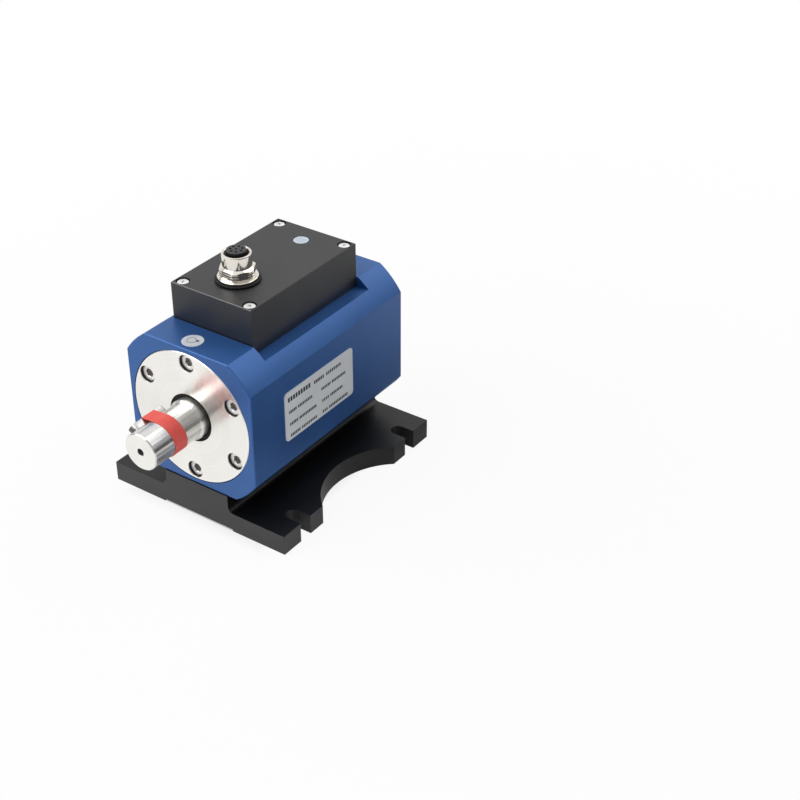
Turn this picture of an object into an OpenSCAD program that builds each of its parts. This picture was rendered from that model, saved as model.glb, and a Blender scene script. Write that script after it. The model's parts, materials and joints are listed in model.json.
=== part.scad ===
// Rotary torque sensor: a keyed shaft runs in two ball bearings through a square housing.
// The housing stands on a slotted base, and a signal box with a round socket sits on top.
// The shaft lies along Y with its taped end towards -Y. Z is up, from the underside of the base.

/* [Housing] */
// Width and height of the square housing
body_w = 75; // [74:1:82]
// Length of the housing
body_l = 119; // [114:1:128]
// Diameter that the four long corners are turned to
corner_d = 90; // [86:1:96]
// Chamfer round both end faces
body_chamfer = 0.4; // [0.2:0.1:0.8]
// Depth of the milled pocket that the signal box stands in
pocket_depth = 5; // [4:0.25:6]
// Diameter of the hole that takes the stator leads up into the box
lead_hole_d = 8; // [7:0.5:10]

/* [Base] */
// Width of the base
base_w = 107; // [102:1:116]
// Length by which the base stands out past each end of the housing
base_overhang = 0.5; // [0.1:0.1:1.5]
// Height of the base, up to the underside of the housing
base_h = 19.75; // [18:0.25:24]
// Thickness of the feet
foot_t = 10.5; // [9:0.5:12]
// Width of the pedestal that carries the housing
ped_w = 39.2; // [36:0.2:44]
// Radius where the pedestal runs out into the feet
ped_fillet = 3.2; // [2:0.2:4.4]
// Width of the shallow relief under the middle
relief_w = 43.4; // [40:0.2:48]
// Depth of the relief
relief_depth = 1.1; // [0.6:0.1:1.6]
// Radius of the round cut-out in each long side
cut_r = 39; // [36:1:44]
// Depth of the cut-out from the side
cut_depth = 14; // [10:0.5:16]
// Width of the bolt slots
slot_w = 7.5; // [6.5:0.5:9]
// Distance between the front and rear slots
slot_pitch = 87.2; // [84:0.4:92]
// Length of a slot from the side of the base
slot_depth = 11; // [9:0.5:13]
// Distance between the left and right base screws
base_screw_x = 24; // [20:1:26]
// Distance between the front and rear base screws
base_screw_y = 76; // [70:1:80]
// Length of the base screws under the head
base_screw_l = 20; // [19:0.5:22]
// Depth of the base screws' heads above the relief
base_head_recess = 1; // [0.5:0.25:2]

/* [End covers] */
// Diameter of the end covers
cover_d = 70; // [68:0.5:73]
// Thickness of the covers, let in flush with the housing
cover_t = 10; // [9:0.5:11]
// Distance from the rim of a cover to the centre of its screws
cover_edge = 5.35; // [5:0.05:5.6]
// Number of screws in a cover
cover_screw_n = 6; // [4:1:8]
// Length of the cover screws under the head
cover_screw_l = 10; // [9:0.5:11]
// Depth of the cover screws' heads below the face
cover_head_recess = 1.5; // [0.5:0.1:1.9]
// Width of the gap between the shaft's collar and the cover
cover_gap = 2.1; // [1:0.1:2.4]
// Thickness of the lip in front of the seal
cover_lip = 0.8; // [0.5:0.1:1.2]
// Wall of the hub that holds the bearing
hub_wall = 4; // [3.5:0.1:4.4]
// Length of the hub behind the retaining ring
hub_end = 2.75; // [2:0.25:4]
// Diameter over the shaft seals
seal_d = 32; // [30:0.5:34]
// Width of the shaft seals
seal_w = 6; // [5:0.5:6.5]
// Thickness of the seals' outer ring
seal_wall = 1; // [0.8:0.1:1.2]
// Space between a seal and its bearing
seal_space = 1.2; // [0.8:0.1:2]

/* [M5 screws] */
// Diameter of the thread
m5_d = 5; // [4.5:0.1:5.2]
// Diameter of the head
m5_head_d = 8.4; // [8:0.1:8.6]
// Height of the head
m5_head_h = 5; // [4.5:0.1:5.5]
// Size of the hexagon socket
m5_hex = 4; // [3.5:0.1:4.5]
// Diameter of the counterbores
m5_cbore_d = 9; // [8.8:0.1:9.4]

/* [Shaft] */
// Diameter of the shaft ends
shaft_d = 19; // [18:0.5:21]
// Length by which each shaft end stands out of the housing
shaft_out = 34.5; // [33:0.5:40]
// Step from the shaft end up to the collar
collar_step = 1; // [0.6:0.1:1.2]
// Length by which the collar stands out of the cover
collar_out = 3.8; // [2:0.1:5]
// Chamfer at the shaft's ends
shaft_chamfer = 0.5; // [0.3:0.1:1]
// Mouth of the centre holes
centre_d = 4; // [3:0.1:5]
// Step from a bearing seat up to its shoulder
shoulder_step = 2; // [1.5:0.1:2.4]
// Diameter of the thin part that twists
gauge_d = 18; // [15:0.5:20]
// Length of the shoulders past the coil rings
shoulder_end = 2; // [1:0.5:4]
// Length of the tapers beside the thin part
gauge_taper = 5; // [3:0.5:7]

/* [Keys] */
// Width of the keys
key_w = 6; // [5:0.5:7]
// Height of the keys
key_h = 6; // [5.5:0.25:6.5]
// Length of the keys
key_l = 22; // [20:0.5:24]
// Depth of the keyways
key_depth = 3.2; // [3:0.1:4]
// Distance from the shaft's end to the key
key_inset = 4.6; // [2:0.1:6]
// Angle of the keys about the shaft, from +X towards +Z
key_angle = 150; // [0:5:355]

/* [Tape] */
// Width of the tape round the front shaft end
tape_w = 8.25; // [6:0.25:11]
// Thickness of the tape
tape_t = 0.2; // [0.1:0.05:0.4]
// Distance from the shaft's end to the tape
tape_inset = 11.75; // [8:0.25:13]

/* [Bearings] */
// Bore of the bearings
bearing_id = 25; // [24:0.25:26]
// Outside diameter of the bearings
bearing_od = 42; // [41:0.25:43]
// Width of the bearings
bearing_w = 9; // [8.5:0.25:10]
// Diameter of the balls
ball_d = 5; // [4.6:0.1:5.4]
// Number of balls
ball_n = 10; // [8:1:11]
// Gap between the two rings
ring_gap = 3; // [2.6:0.1:3.4]
// Width of the cage
cage_w = 7; // [6.2:0.1:7.6]
// Thickness of the cage
cage_t = 1.8; // [1.2:0.1:2]
// Thickness of the retaining rings
clip_t = 1.75; // [1.25:0.25:2.25]
// Depth of the groove for a retaining ring
clip_groove = 1.2; // [0.8:0.1:1.6]
// Width of a retaining ring, from its edge in the groove to its inside
clip_band = 3; // [2.5:0.1:3.4]
// Opening between the ends of a retaining ring
clip_opening = 12; // [8:1:16]

/* [Signal transfer] */
// Width of the coil rings
coil_w = 10; // [8:0.5:11]
// Thickness of the stator ring
stator_t = 4; // [3.5:0.1:4.4]
// Air gap between the stator and rotor rings
air_gap = 0.5; // [0.4:0.05:0.8]
// Depth of the grooves for the windings
winding_t = 2; // [1.5:0.1:2.6]
// Width of the windings
winding_w = 6; // [5:0.5:7]
// Distance of the rotor's circuit board from the end of its shoulder
rotor_board_inset = 3; // [2:0.5:6]
// Diameter of the rotor's circuit board
rotor_board_d = 44; // [40:0.5:46]
// Diameter of the leads
lead_d = 1.4; // [1:0.1:1.8]
// Distance between the two leads
lead_pitch = 4; // [3:0.5:4.4]
// Length and width of a strain gauge
gauge_size = 5; // [4:0.5:7]
// Thickness of a strain gauge
gauge_t = 0.3; // [0.2:0.05:0.5]

/* [Signal box] */
// Width of the box
box_w = 48; // [46:0.5:52]
// Length of the box
box_l = 80; // [77:0.5:83]
// Height of the box
box_h = 23.75; // [22:0.25:27]
// Thickness of the box's walls
box_wall = 3; // [2.5:0.25:3.75]
// Thickness of the box's top
box_top = 4; // [3.75:0.25:5]
// Chamfer along the box's upper edges
box_chamfer = 0.3; // [0.2:0.1:0.8]
// Distance from the sides of the box to its screws
box_screw_inset = 4; // [3.8:0.1:4.4]
// Diameter of the posts round the screws
box_post_d = 7; // [6.8:0.1:7.4]
// Diameter of the pale indicator window
window_d = 7.6; // [6:0.2:9]
// Gap between the lamp on the board and the window's light guide
lamp_gap = 0.3; // [0.2:0.1:0.8]
// Distance of the window from the rear end of the box
window_y = 12.2; // [10:0.2:16]

/* [M3 screws] */
// Diameter of the thread
m3_d = 3; // [2.6:0.1:3.2]
// Diameter of the head
m3_head_d = 5.7; // [5.2:0.1:6]
// Height of the head
m3_head_h = 2.2; // [1.8:0.1:2.6]
// Depth of the heads below the top of the box
m3_head_recess = 0.4; // [0.3:0.1:1]
// Diameter of the counterbores
m3_cbore_d = 6.8; // [6.4:0.1:7]
// Length of the box screws under the head
m3_l = 25; // [24:0.5:27]
// Length across the cross recess
m3_cross = 3; // [2.4:0.1:3.4]

/* [Circuit board] */
// Height of the spacers under the board
spacer_h = 5; // [4:0.5:7]
// Width across the flats of the spacers
spacer_af = 5; // [4.5:0.1:5.5]
// Gap between the main board and the box's posts and walls
board_gap = 1; // [0.75:0.25:2]
// Thickness of the boards
board_t = 1.6; // [1:0.1:2]
// Distance from the board's edges to its screws
board_screw_inset = 4; // [3.6:0.1:5]
// Width of the chips on the main board
chip_w = 6; // [4:0.5:7]
// Distance between the chips' centres
chip_pitch = 13; // [11:0.5:14]
// Height of the chips on the main board
chip_h = 1.5; // [1:0.1:2.5]
// Diameter of the board screws
board_screw_d = 2.5; // [2:0.1:2.8]

/* [Socket] */
// Distance of the socket from the front end of the box
socket_y = 20; // [18:0.5:23]
// Diameter of the rubber ring under the flange
gasket_d = 22; // [21:0.25:23]
// Thickness of the rubber ring
gasket_t = 1.3; // [1:0.1:1.6]
// Diameter of the flange
flange_d = 19.6; // [18.8:0.2:20.4]
// Thickness of the flange
flange_t = 1.1; // [0.8:0.1:1.5]
// Width across the flats of the hexagon
hex_af = 16.2; // [15.6:0.1:16.8]
// Diameter that the corners of the hexagon are turned to
hex_d = 17.6; // [17.2:0.1:18.2]
// Height of the hexagon, without its cone
hex_h = 4.1; // [3:0.1:5]
// Height of the cone above the hexagon
cone_h = 1.2; // [0.8:0.1:1.6]
// Diameter of the collar that the plug screws into
collar_d = 14.3; // [14:0.1:15]
// Height of the collar above its cone
collar_h = 6.4; // [5:0.1:8]
// Bore of the collar
collar_bore = 11.8; // [11:0.1:12.4]
// Chamfer inside and outside the collar's rim
rim_chamfer = 0.35; // [0.2:0.05:0.5]
// Diameter of the threaded shank through the box
shank_d = 16; // [15:0.1:16.4]
// Length of the shank below the top of the box
shank_l = 8.5; // [8:0.25:9.5]
// Wall of the shank
shank_wall = 1.7; // [1.3:0.1:1.9]
// Width across the flats of the nut inside the box
nut_af = 20; // [19:0.5:22]
// Thickness of the nut
nut_t = 3; // [2.5:0.25:3.5]
// Diameter of the insert
insert_d = 9.6; // [8.6:0.1:9.8]
// Height of the insert above the rim of the collar
insert_out = 1.5; // [1:0.1:3]
// Chamfer round the insert's top
insert_chamfer = 0.2; // [0.1:0.05:0.4]
// Number of contacts round the middle one
contact_n = 7; // [4:1:7]
// Diameter of the circle of contacts
contact_circle = 5.8; // [5.2:0.1:6]
// Diameter of the holes for the contacts
contact_hole = 1.3; // [1:0.05:1.4]
// Depth of the contacts below the insert's top
contact_depth = 3; // [1:0.5:5]
// Diameter of the contacts' pins
contact_pin = 0.8; // [0.6:0.05:0.9]

/* [Plates] */
// Length of the nameplate
plate_l = 53; // [46:0.5:58]
// Height of the nameplate
plate_h = 26.6; // [22:0.2:30]
// Thickness of the nameplate
plate_t = 0.5; // [0.3:0.1:0.8]
// Radius of the nameplate's corners
plate_r = 2; // [1:0.25:4]
// Distance of the nameplate in front of the middle of the housing
plate_y = 9.5; // [4:0.5:14]
// Height of the nameplate's middle above the shaft
plate_z = 0.6; // [0:0.1:2]
// Diameter of the round label
label_d = 10.5; // [8:0.25:12]
// Thickness of the round label
label_t = 0.15; // [0.1:0.05:0.3]
// Distance of the round label from the front of the housing
label_inset = 7.6; // [7:0.2:9]
// Sideways place of the round label
label_x = -1.9; // [-12:0.1:12]

/* [Fits] */
// Clearance round seated, screwed and glued pieces
seat_fit = 0.05; // [0.03:0.01:0.08]
// Clearance of running pieces
run_fit = 0.1; // [0.06:0.01:0.15]
// Clearance round the end covers
cover_fit = 0.2; // [0.1:0.05:0.3]
// Clearance of the box in its pocket
pocket_fit = 0.5; // [0.2:0.1:0.8]
// Clearance round screws in through holes
screw_fit = 0.25; // [0.15:0.05:0.35]
// Depth of blind holes past the end of their screws
blind_depth = 1; // [0.5:0.25:1.5]

/* [Hidden] */
$fn = 72;
// Overlap of cutting tools past the face they cut
eps = 1;

// Heights above the underside of the base
axis_h = base_h + body_w / 2;
top_z = base_h + body_w;
floor_z = top_z - pocket_depth;
box_z = floor_z + box_h;
board_z = floor_z + spacer_h;

// Distances from the middle of the shaft towards either end
face_u = body_l / 2;
shaft_u = face_u + shaft_out;
lip_u = face_u - cover_lip;
bearing_out_u = lip_u - seal_w - seal_space;
bearing_in_u = bearing_out_u - bearing_w;
hub_u = bearing_in_u - clip_t - hub_end;
shoulder_u = hub_u - coil_w - shoulder_end;
coil_u = hub_u - coil_w / 2;
rotor_board_u = shoulder_u + rotor_board_inset;
lead_u = coil_u - winding_w / 2 + lead_d / 2 + seat_fit;

// Diameters about the shaft
collar_shaft_d = shaft_d + 2 * collar_step;
cover_bore_d = collar_shaft_d + 2 * cover_gap;
shoulder_d = bearing_id + 2 * shoulder_step;
pitch_d = (bearing_id + bearing_od) / 2;
hub_d = bearing_od + 2 * hub_wall;
bore_d = hub_d + 2 * seat_fit;
clip_d = bearing_od + 2 * clip_groove;
cover_pcd = cover_d - 2 * cover_edge;
stator_bore = hub_d - 2 * stator_t;
rotor_d = stator_bore - 2 * air_gap;

// The base screws' seat above the underside
base_seat_z = relief_depth + base_head_recess + m5_head_h;
// The cover screws' seat below the face
cover_seat = cover_head_recess + m5_head_h;
// The box screws' seat below the top of the box
box_seat = m3_head_recess + m3_head_h;

// Half distances of the box screws and of the board's screws
box_screw = [box_w / 2 - box_screw_inset, box_l / 2 - box_screw_inset];
board_w = 2 * (box_screw[0] - box_post_d / 2 - board_gap);
board_l = box_l - 2 * (box_wall + board_gap);
board_screw = [board_w / 2 - board_screw_inset, board_l / 2 - board_screw_inset];

// The places of the socket and the window along the box
socket_at = socket_y - box_l / 2;
window_at = box_l / 2 - window_y;

// The socket's heights above the top of the box
flange_top = gasket_t + flange_t;
hex_top = flange_top + hex_h;
cone_top = hex_top + cone_h;
rim_top = cone_top + collar_h;
insert_seat = flange_top;

// Placing

// Lays the local Z axis along the shaft, pointing to the front. Local Y is up.
module on_shaft() {
    translate([0, 0, axis_h]) rotate([90, 0, 0]) children();
}

// Turns a front piece into its rear twin
module at_rear() {
    mirror([0, 1, 0]) children();
}

// One copy in each corner of a rectangle of the given half sizes
module at_corners(half) {
    for (x = [-1, 1], y = [-1, 1]) translate([x * half[0], y * half[1], 0]) children();
}

// One copy at each cover screw
module at_cover_screws() {
    first = 30;
    for (i = [0 : cover_screw_n - 1])
        rotate([0, 0, first + i * 360 / cover_screw_n]) translate([cover_pcd / 2, 0, 0]) children();
}

// One copy at each contact of the socket, the middle one first
module at_contacts() {
    children();
    for (i = [0 : contact_n - 1])
        rotate([0, 0, i * 360 / contact_n]) translate([contact_circle / 2, 0, 0]) children();
}

// Places a piece on the top of the box, at the socket
module at_socket(z = box_z) {
    translate([0, socket_at, z]) children();
}

// Shapes

// A ring with its axis along Z, from z = from to z = to
module ring(outer, inner, from, to) {
    translate([0, 0, from]) difference() {
        cylinder(d = outer, h = to - from);
        translate([0, 0, -eps]) cylinder(d = inner, h = to - from + 2 * eps);
    }
}

// A straight hole or rod from z = from to z = to
module rod(d, from, to) {
    translate([0, 0, from]) cylinder(d = d, h = to - from);
}

// A rectangle with its corners cut off at 45 degrees
module chamfered_rect(w, l, c) {
    polygon([
        [-w / 2 + c, -l / 2], [w / 2 - c, -l / 2], [w / 2, -l / 2 + c], [w / 2, l / 2 - c],
        [w / 2 - c, l / 2], [-w / 2 + c, l / 2], [-w / 2, l / 2 - c], [-w / 2, -l / 2 + c]
    ]);
}

// A rectangle with round corners
module round_rect(w, l, r) {
    square([w - 2 * r, l], center = true);
    square([w, l - 2 * r], center = true);
    at_corners([w / 2 - r, l / 2 - r]) circle(r);
}

// A screw that points down along -Z, with its head's underside at z = 0
module socket_screw(length) {
    socket_depth = m5_head_h / 2;
    edge = m5_head_h / 12;
    difference() {
        union() {
            rod(m5_head_d, 0, m5_head_h - edge);
            translate([0, 0, m5_head_h - edge]) cylinder(d1 = m5_head_d, d2 = m5_head_d - 2 * edge, h = edge);
            rod(m5_d, -length, 0);
        }
        translate([0, 0, m5_head_h - socket_depth])
            cylinder(d = m5_hex / cos(30), h = socket_depth + eps, $fn = 6);
    }
}

// A pan head screw with a cross recess, placed like the socket screw
module cross_screw(d, head_d, head_h, length, cross) {
    recess = head_h * 0.45;
    edge = head_h / 7;
    difference() {
        union() {
            rod(head_d, 0, head_h - edge);
            translate([0, 0, head_h - edge]) cylinder(d1 = head_d, d2 = head_d - 2 * edge, h = edge);
            rod(d, -length, 0);
        }
        for (a = [0, 90]) rotate([0, 0, a])
            translate([-cross / 2, -cross / 8, head_h - recess]) cube([cross, cross / 4, recess + eps]);
    }
}

// A parallel key with round ends: its length along X, its height up from z = 0
module key_bar(l, w, h) {
    linear_extrude(h) {
        square([l - w, w], center = true);
        for (x = [-1, 1]) translate([x * (l - w) / 2, 0]) circle(d = w);
    }
}

// Places a key bar in the front shaft end
module at_key() {
    on_shaft() rotate([0, 0, key_angle])
        translate([shaft_d / 2 - key_depth, 0, shaft_u - key_inset - key_l / 2]) rotate([0, 90, 0]) children();
}

// Base

// The plan of the base, with round cut-outs in its sides and open slots in its four feet
module base_plan() {
    base_l = body_l + 2 * base_overhang;
    cut_x = base_w / 2 - cut_depth + cut_r;
    slot_x = base_w / 2 - slot_depth + slot_w / 2;
    difference() {
        square([base_w, base_l], center = true);
        for (x = [-1, 1]) translate([x * cut_x, 0]) circle(cut_r, $fn = 144);
        for (x = [-1, 1], y = [-1, 1]) translate([x * slot_x, y * slot_pitch / 2]) {
            circle(d = slot_w);
            translate([x * slot_depth / 2, 0]) square([slot_depth, slot_w], center = true);
        }
    }
}

// The cross section of the base: feet, pedestal with its run-out radii, and relief underneath
module base_section() {
    difference() {
        union() {
            translate([-base_w / 2, 0]) square([base_w, foot_t]);
            translate([-ped_w / 2, 0]) square([ped_w, base_h]);
            translate([-ped_w / 2 - ped_fillet, 0]) square([ped_w + 2 * ped_fillet, foot_t + ped_fillet]);
        }
        for (x = [-1, 1]) translate([x * (ped_w / 2 + ped_fillet), foot_t + ped_fillet]) circle(ped_fillet);
        translate([-relief_w / 2, -eps]) square([relief_w, relief_depth + eps]);
    }
}

module base_plate() {
    base_l = body_l + 2 * base_overhang;
    color([0.09, 0.09, 0.1]) difference() {
        intersection() {
            linear_extrude(base_h) base_plan();
            translate([0, base_l / 2, 0]) rotate([90, 0, 0]) linear_extrude(base_l) base_section();
        }
        at_corners([base_screw_x / 2, base_screw_y / 2]) {
            rod(m5_cbore_d, -eps, base_seat_z);
            rod(m5_d + 2 * screw_fit, 0, base_h + eps);
        }
    }
}

module base_screws() {
    color("silver") at_corners([base_screw_x / 2, base_screw_y / 2])
        translate([0, 0, base_seat_z]) mirror([0, 0, 1]) socket_screw(base_screw_l);
}

// Housing

// The square bar with its corners turned round and both end faces chamfered
module housing_bar() {
    round_end = corner_d / 2 - body_chamfer;
    intersection() {
        linear_extrude(2 * body_w, center = true) chamfered_rect(body_w, body_l, body_chamfer);
        rotate([0, 90, 0]) linear_extrude(2 * body_w, center = true)
            chamfered_rect(body_w, body_l, body_chamfer);
        rotate([90, 0, 0]) rotate_extrude($fn = 180) polygon([
            [0, -face_u], [round_end, -face_u], [corner_d / 2, -face_u + body_chamfer],
            [corner_d / 2, face_u - body_chamfer], [round_end, face_u], [0, face_u]
        ]);
    }
}

module housing() {
    thread_d = m5_d + 2 * seat_fit;
    cover_hole = cover_screw_l - (cover_t - cover_seat) + blind_depth;
    base_hole = base_screw_l - (base_h - base_seat_z) + blind_depth;
    box_hole = m3_l - (box_h - box_seat) + blind_depth;
    pocket_l = box_l + 2 * pocket_fit;
    color([0.16, 0.32, 0.62]) difference() {
        translate([0, 0, axis_h]) housing_bar();
        on_shaft() rod(bore_d, -body_l, body_l);
        on_shaft() for (end = [0, 180]) rotate([0, end, 0]) {
            rod(cover_d + 2 * cover_fit, face_u - cover_t, body_l);
            mirror([end / 180, 0, 0]) at_cover_screws()
                rod(thread_d, face_u - cover_t - cover_hole, face_u);
        }
        translate([-body_w, -pocket_l / 2, floor_z]) cube([2 * body_w, pocket_l, body_w]);
        at_corners(box_screw) rod(m3_d + 2 * seat_fit, floor_z - box_hole, floor_z + eps);
        at_corners([base_screw_x / 2, base_screw_y / 2]) rod(thread_d, base_h - eps, base_h + base_hole);
        translate([0, -lead_u, 0]) rod(lead_hole_d, axis_h, floor_z + eps);
    }
}

// End covers and seals

module end_cover() {
    on_shaft() difference() {
        union() {
            rod(cover_d, face_u - cover_t, face_u - body_chamfer);
            translate([0, 0, face_u - body_chamfer])
                cylinder(d1 = cover_d, d2 = cover_d - 2 * body_chamfer, h = body_chamfer);
            rod(hub_d, hub_u, face_u - cover_t);
        }
        rod(cover_bore_d, 0, body_l);
        rod(seal_d + 2 * seat_fit, 0, lip_u);
        rod(bearing_od + 2 * seat_fit, 0, bearing_out_u);
        rod(clip_d + 2 * seat_fit, bearing_in_u - clip_t - seat_fit, bearing_in_u);
        at_cover_screws() {
            rod(m5_cbore_d, face_u - cover_seat, body_l);
            rod(m5_d + 2 * screw_fit, 0, body_l);
        }
    }
}

module cover_screws() {
    on_shaft() at_cover_screws() translate([0, 0, face_u - cover_seat]) socket_screw(cover_screw_l);
}

// A lip seal: a stiff outer ring, a flexible lip that leans on the collar, and a dust lip in front
module shaft_seal() {
    lip_r = collar_shaft_d / 2 + run_fit;
    throat_r = lip_r + 0.9 * seal_wall;
    back_r = throat_r + 1.3 * seal_wall;
    on_shaft() rotate_extrude() polygon([
        [seal_d / 2, lip_u - seal_w], [seal_d / 2, lip_u], [lip_r + 0.4 * seal_wall, lip_u],
        [lip_r, lip_u - 0.07 * seal_w], [lip_r, lip_u - 0.15 * seal_w],
        [throat_r, lip_u - 0.27 * seal_w], [throat_r, lip_u - 0.36 * seal_w],
        [lip_r, lip_u - 0.6 * seal_w], [lip_r, lip_u - 0.67 * seal_w],
        [back_r - 0.8 * seal_wall, lip_u - 0.87 * seal_w], [back_r, lip_u - 0.87 * seal_w],
        [back_r, lip_u - 0.36 * seal_w], [seal_d / 2 - seal_wall, lip_u - 0.36 * seal_w],
        [seal_d / 2 - seal_wall, lip_u - seal_w]
    ]);
}

module front_cover() { color([0.8, 0.8, 0.8]) end_cover(); }
module rear_cover() { color([0.8, 0.8, 0.8]) at_rear() end_cover(); }
module front_cover_screws() { color("silver") cover_screws(); }
module rear_cover_screws() { color("silver") at_rear() cover_screws(); }
module front_seal() { color([0.05, 0.05, 0.05]) shaft_seal(); }
module rear_seal() { color([0.05, 0.05, 0.05]) at_rear() shaft_seal(); }

// Bearings

// The round track that the balls leave in both rings
module ball_track() {
    translate([0, 0, bearing_in_u + bearing_w / 2])
        rotate_extrude() translate([pitch_d / 2, 0]) circle(d = ball_d + 2 * run_fit, $fn = 36);
}

module outer_ring() {
    on_shaft() difference() {
        ring(bearing_od, pitch_d + ring_gap, bearing_in_u, bearing_out_u);
        ball_track();
    }
}

module inner_ring() {
    on_shaft() difference() {
        ring(pitch_d - ring_gap, bearing_id, bearing_in_u, bearing_out_u);
        ball_track();
    }
}

// One copy at each ball, with X pointing away from the shaft
module at_balls() {
    translate([0, 0, bearing_in_u + bearing_w / 2]) for (i = [0 : ball_n - 1])
        rotate([0, 0, i * 360 / ball_n]) translate([pitch_d / 2, 0, 0]) children();
}

module balls() {
    on_shaft() at_balls() sphere(d = ball_d, $fn = 36);
}

// The cage: a ring with a drilled pocket for each ball
module ball_cage() {
    from = bearing_in_u + (bearing_w - cage_w) / 2;
    on_shaft() difference() {
        ring(pitch_d + cage_t, pitch_d - cage_t, from, from + cage_w);
        at_balls() rotate([0, 90, 0]) rod(ball_d + 2 * run_fit, -cage_t, cage_t);
    }
}

// A retaining ring: an open band in the hub's groove, with a drilled lug at each end
module retaining_ring() {
    inner = clip_d - 2 * clip_band;
    lug_d = 1.5 * clip_band;
    lug_hole = lug_d / 2.2;
    lug_r = (bearing_od - lug_d) / 2;
    lug_a = asin((clip_opening + lug_d) / 2 / lug_r);
    on_shaft() translate([0, 0, bearing_in_u - clip_t]) difference() {
        union() {
            difference() {
                ring(clip_d, inner, 0, clip_t);
                translate([-clip_opening / 2, -clip_d, -eps]) cube([clip_opening, clip_d, clip_t + 2 * eps]);
            }
            for (a = [-lug_a, lug_a]) rotate([0, 0, a - 90]) translate([lug_r, 0, 0]) rod(lug_d, 0, clip_t);
        }
        for (a = [-lug_a, lug_a]) rotate([0, 0, a - 90]) translate([lug_r, 0, 0])
            rod(lug_hole, -eps, clip_t + eps);
    }
}

module front_outer_ring() { color("silver") outer_ring(); }
module rear_outer_ring() { color("silver") at_rear() outer_ring(); }
module front_inner_ring() { color("silver") inner_ring(); }
module rear_inner_ring() { color("silver") at_rear() inner_ring(); }
module front_balls() { color("gainsboro") balls(); }
module rear_balls() { color("gainsboro") at_rear() balls(); }
module front_cage() { color("peru") ball_cage(); }
module rear_cage() { color("peru") at_rear() ball_cage(); }
module front_clip() { color("dimgray") retaining_ring(); }
module rear_clip() { color("dimgray") at_rear() retaining_ring(); }

// Shaft

// Half of the shaft's profile, as radius and distance from the middle
function half_profile() = [
    [gauge_d / 2, shoulder_u - gauge_taper],
    [shoulder_d / 2, shoulder_u],
    [shoulder_d / 2, bearing_in_u],
    [bearing_id / 2 - seat_fit, bearing_in_u],
    [bearing_id / 2 - seat_fit, bearing_out_u],
    [collar_shaft_d / 2, bearing_out_u],
    [collar_shaft_d / 2, face_u + collar_out - collar_step],
    [shaft_d / 2, face_u + collar_out],
    [shaft_d / 2, shaft_u - shaft_chamfer],
    [shaft_d / 2 - shaft_chamfer, shaft_u]
];

// The same points from the other end, in turning order
function mirrored(points) = [for (i = [len(points) - 1 : -1 : 0]) [points[i][0], -points[i][1]]];

// A centre hole: a 60 degree cone with a drilled pilot
module centre_hole() {
    cone = centre_d / 2 / tan(30);
    translate([0, 0, shaft_u - cone]) cylinder(d1 = 0.01, d2 = centre_d, h = cone);
    rod(centre_d / 2, shaft_u - 1.6 * cone, shaft_u);
}

module keyway() {
    at_key() key_bar(key_l + 2 * seat_fit, key_w + 2 * seat_fit, key_h);
}

module shaft() {
    color([0.82, 0.82, 0.82]) difference() {
        on_shaft() rotate_extrude()
            polygon(concat([[0, -shaft_u]], mirrored(half_profile()), half_profile(), [[0, shaft_u]]));
        on_shaft() for (end = [0, 180]) rotate([0, end, 0]) centre_hole();
        keyway();
        at_rear() keyway();
    }
}

module front_key() { color("silver") at_key() key_bar(key_l, key_w, key_h); }
module rear_key() { color("silver") at_rear() front_key(); }

// The outline of a band stretched round the shaft end and over the key, which points along +X
module band_outline(grow) {
    r = shaft_d / 2 + grow;
    top = shaft_d / 2 - key_depth + key_h + grow;
    side = key_w / 2 + grow;
    touch = atan2(side, top) + acos(r / norm([top, side]));
    sweep = 360 - 2 * touch;
    steps = 60;
    polygon(concat(
        [[top, -side], [top, side]],
        [for (i = [0 : steps]) let (a = touch + i * sweep / steps) r * [cos(a), sin(a)]]
    ));
}

module tape_band() {
    color([0.85, 0.2, 0.18]) on_shaft() rotate([0, 0, key_angle])
        translate([0, 0, shaft_u - tape_inset - tape_w]) linear_extrude(tape_w) difference() {
            band_outline(seat_fit + tape_t);
            band_outline(seat_fit);
        }
}

// Four foil gauges at 45 degrees on the thin part of the shaft
module strain_gauges() {
    foil_r = gauge_d / 2 + seat_fit + gauge_t;
    color("orange") on_shaft() intersection() {
        ring(2 * foil_r, gauge_d + 2 * seat_fit, -gauge_size, gauge_size);
        for (a = [0 : 90 : 270]) rotate([0, 0, a]) translate([foil_r / 2, 0, 0]) rotate([45, 0, 0])
            cube([foil_r, gauge_size, gauge_size], center = true);
    }
}

// Signal transfer

module rotor_core() {
    from = coil_u - coil_w / 2;
    color("slategray") on_shaft() difference() {
        ring(rotor_d, shoulder_d + 2 * seat_fit, from, from + coil_w);
        ring(rotor_d + eps, rotor_d - 2 * winding_t, coil_u - winding_w / 2, coil_u + winding_w / 2);
    }
}

module rotor_winding() {
    half = winding_w / 2 - seat_fit;
    color("sienna") on_shaft()
        ring(rotor_d - air_gap, rotor_d - 2 * winding_t + 2 * seat_fit, coil_u - half, coil_u + half);
}

module rotor_board() {
    color("seagreen") at_rear() on_shaft()
        ring(rotor_board_d, shoulder_d + 2 * seat_fit, rotor_board_u, rotor_board_u + board_t);
}

// One copy at each stator lead
module at_leads() {
    for (x = [-1, 1]) translate([x * lead_pitch / 2, -lead_u, 0]) children();
}

module stator_core() {
    from = coil_u - coil_w / 2;
    color("slategray") difference() {
        on_shaft() difference() {
            ring(hub_d, stator_bore, from, from + coil_w);
            ring(stator_bore + 2 * winding_t, stator_bore - eps, coil_u - winding_w / 2, coil_u + winding_w / 2);
        }
        at_leads() rod(lead_d + 2 * seat_fit, axis_h, axis_h + hub_d);
    }
}

module stator_winding() {
    half = winding_w / 2 - seat_fit;
    color("sienna") on_shaft()
        ring(stator_bore + 2 * winding_t - 2 * seat_fit, stator_bore + air_gap, coil_u - half, coil_u + half);
}

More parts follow.
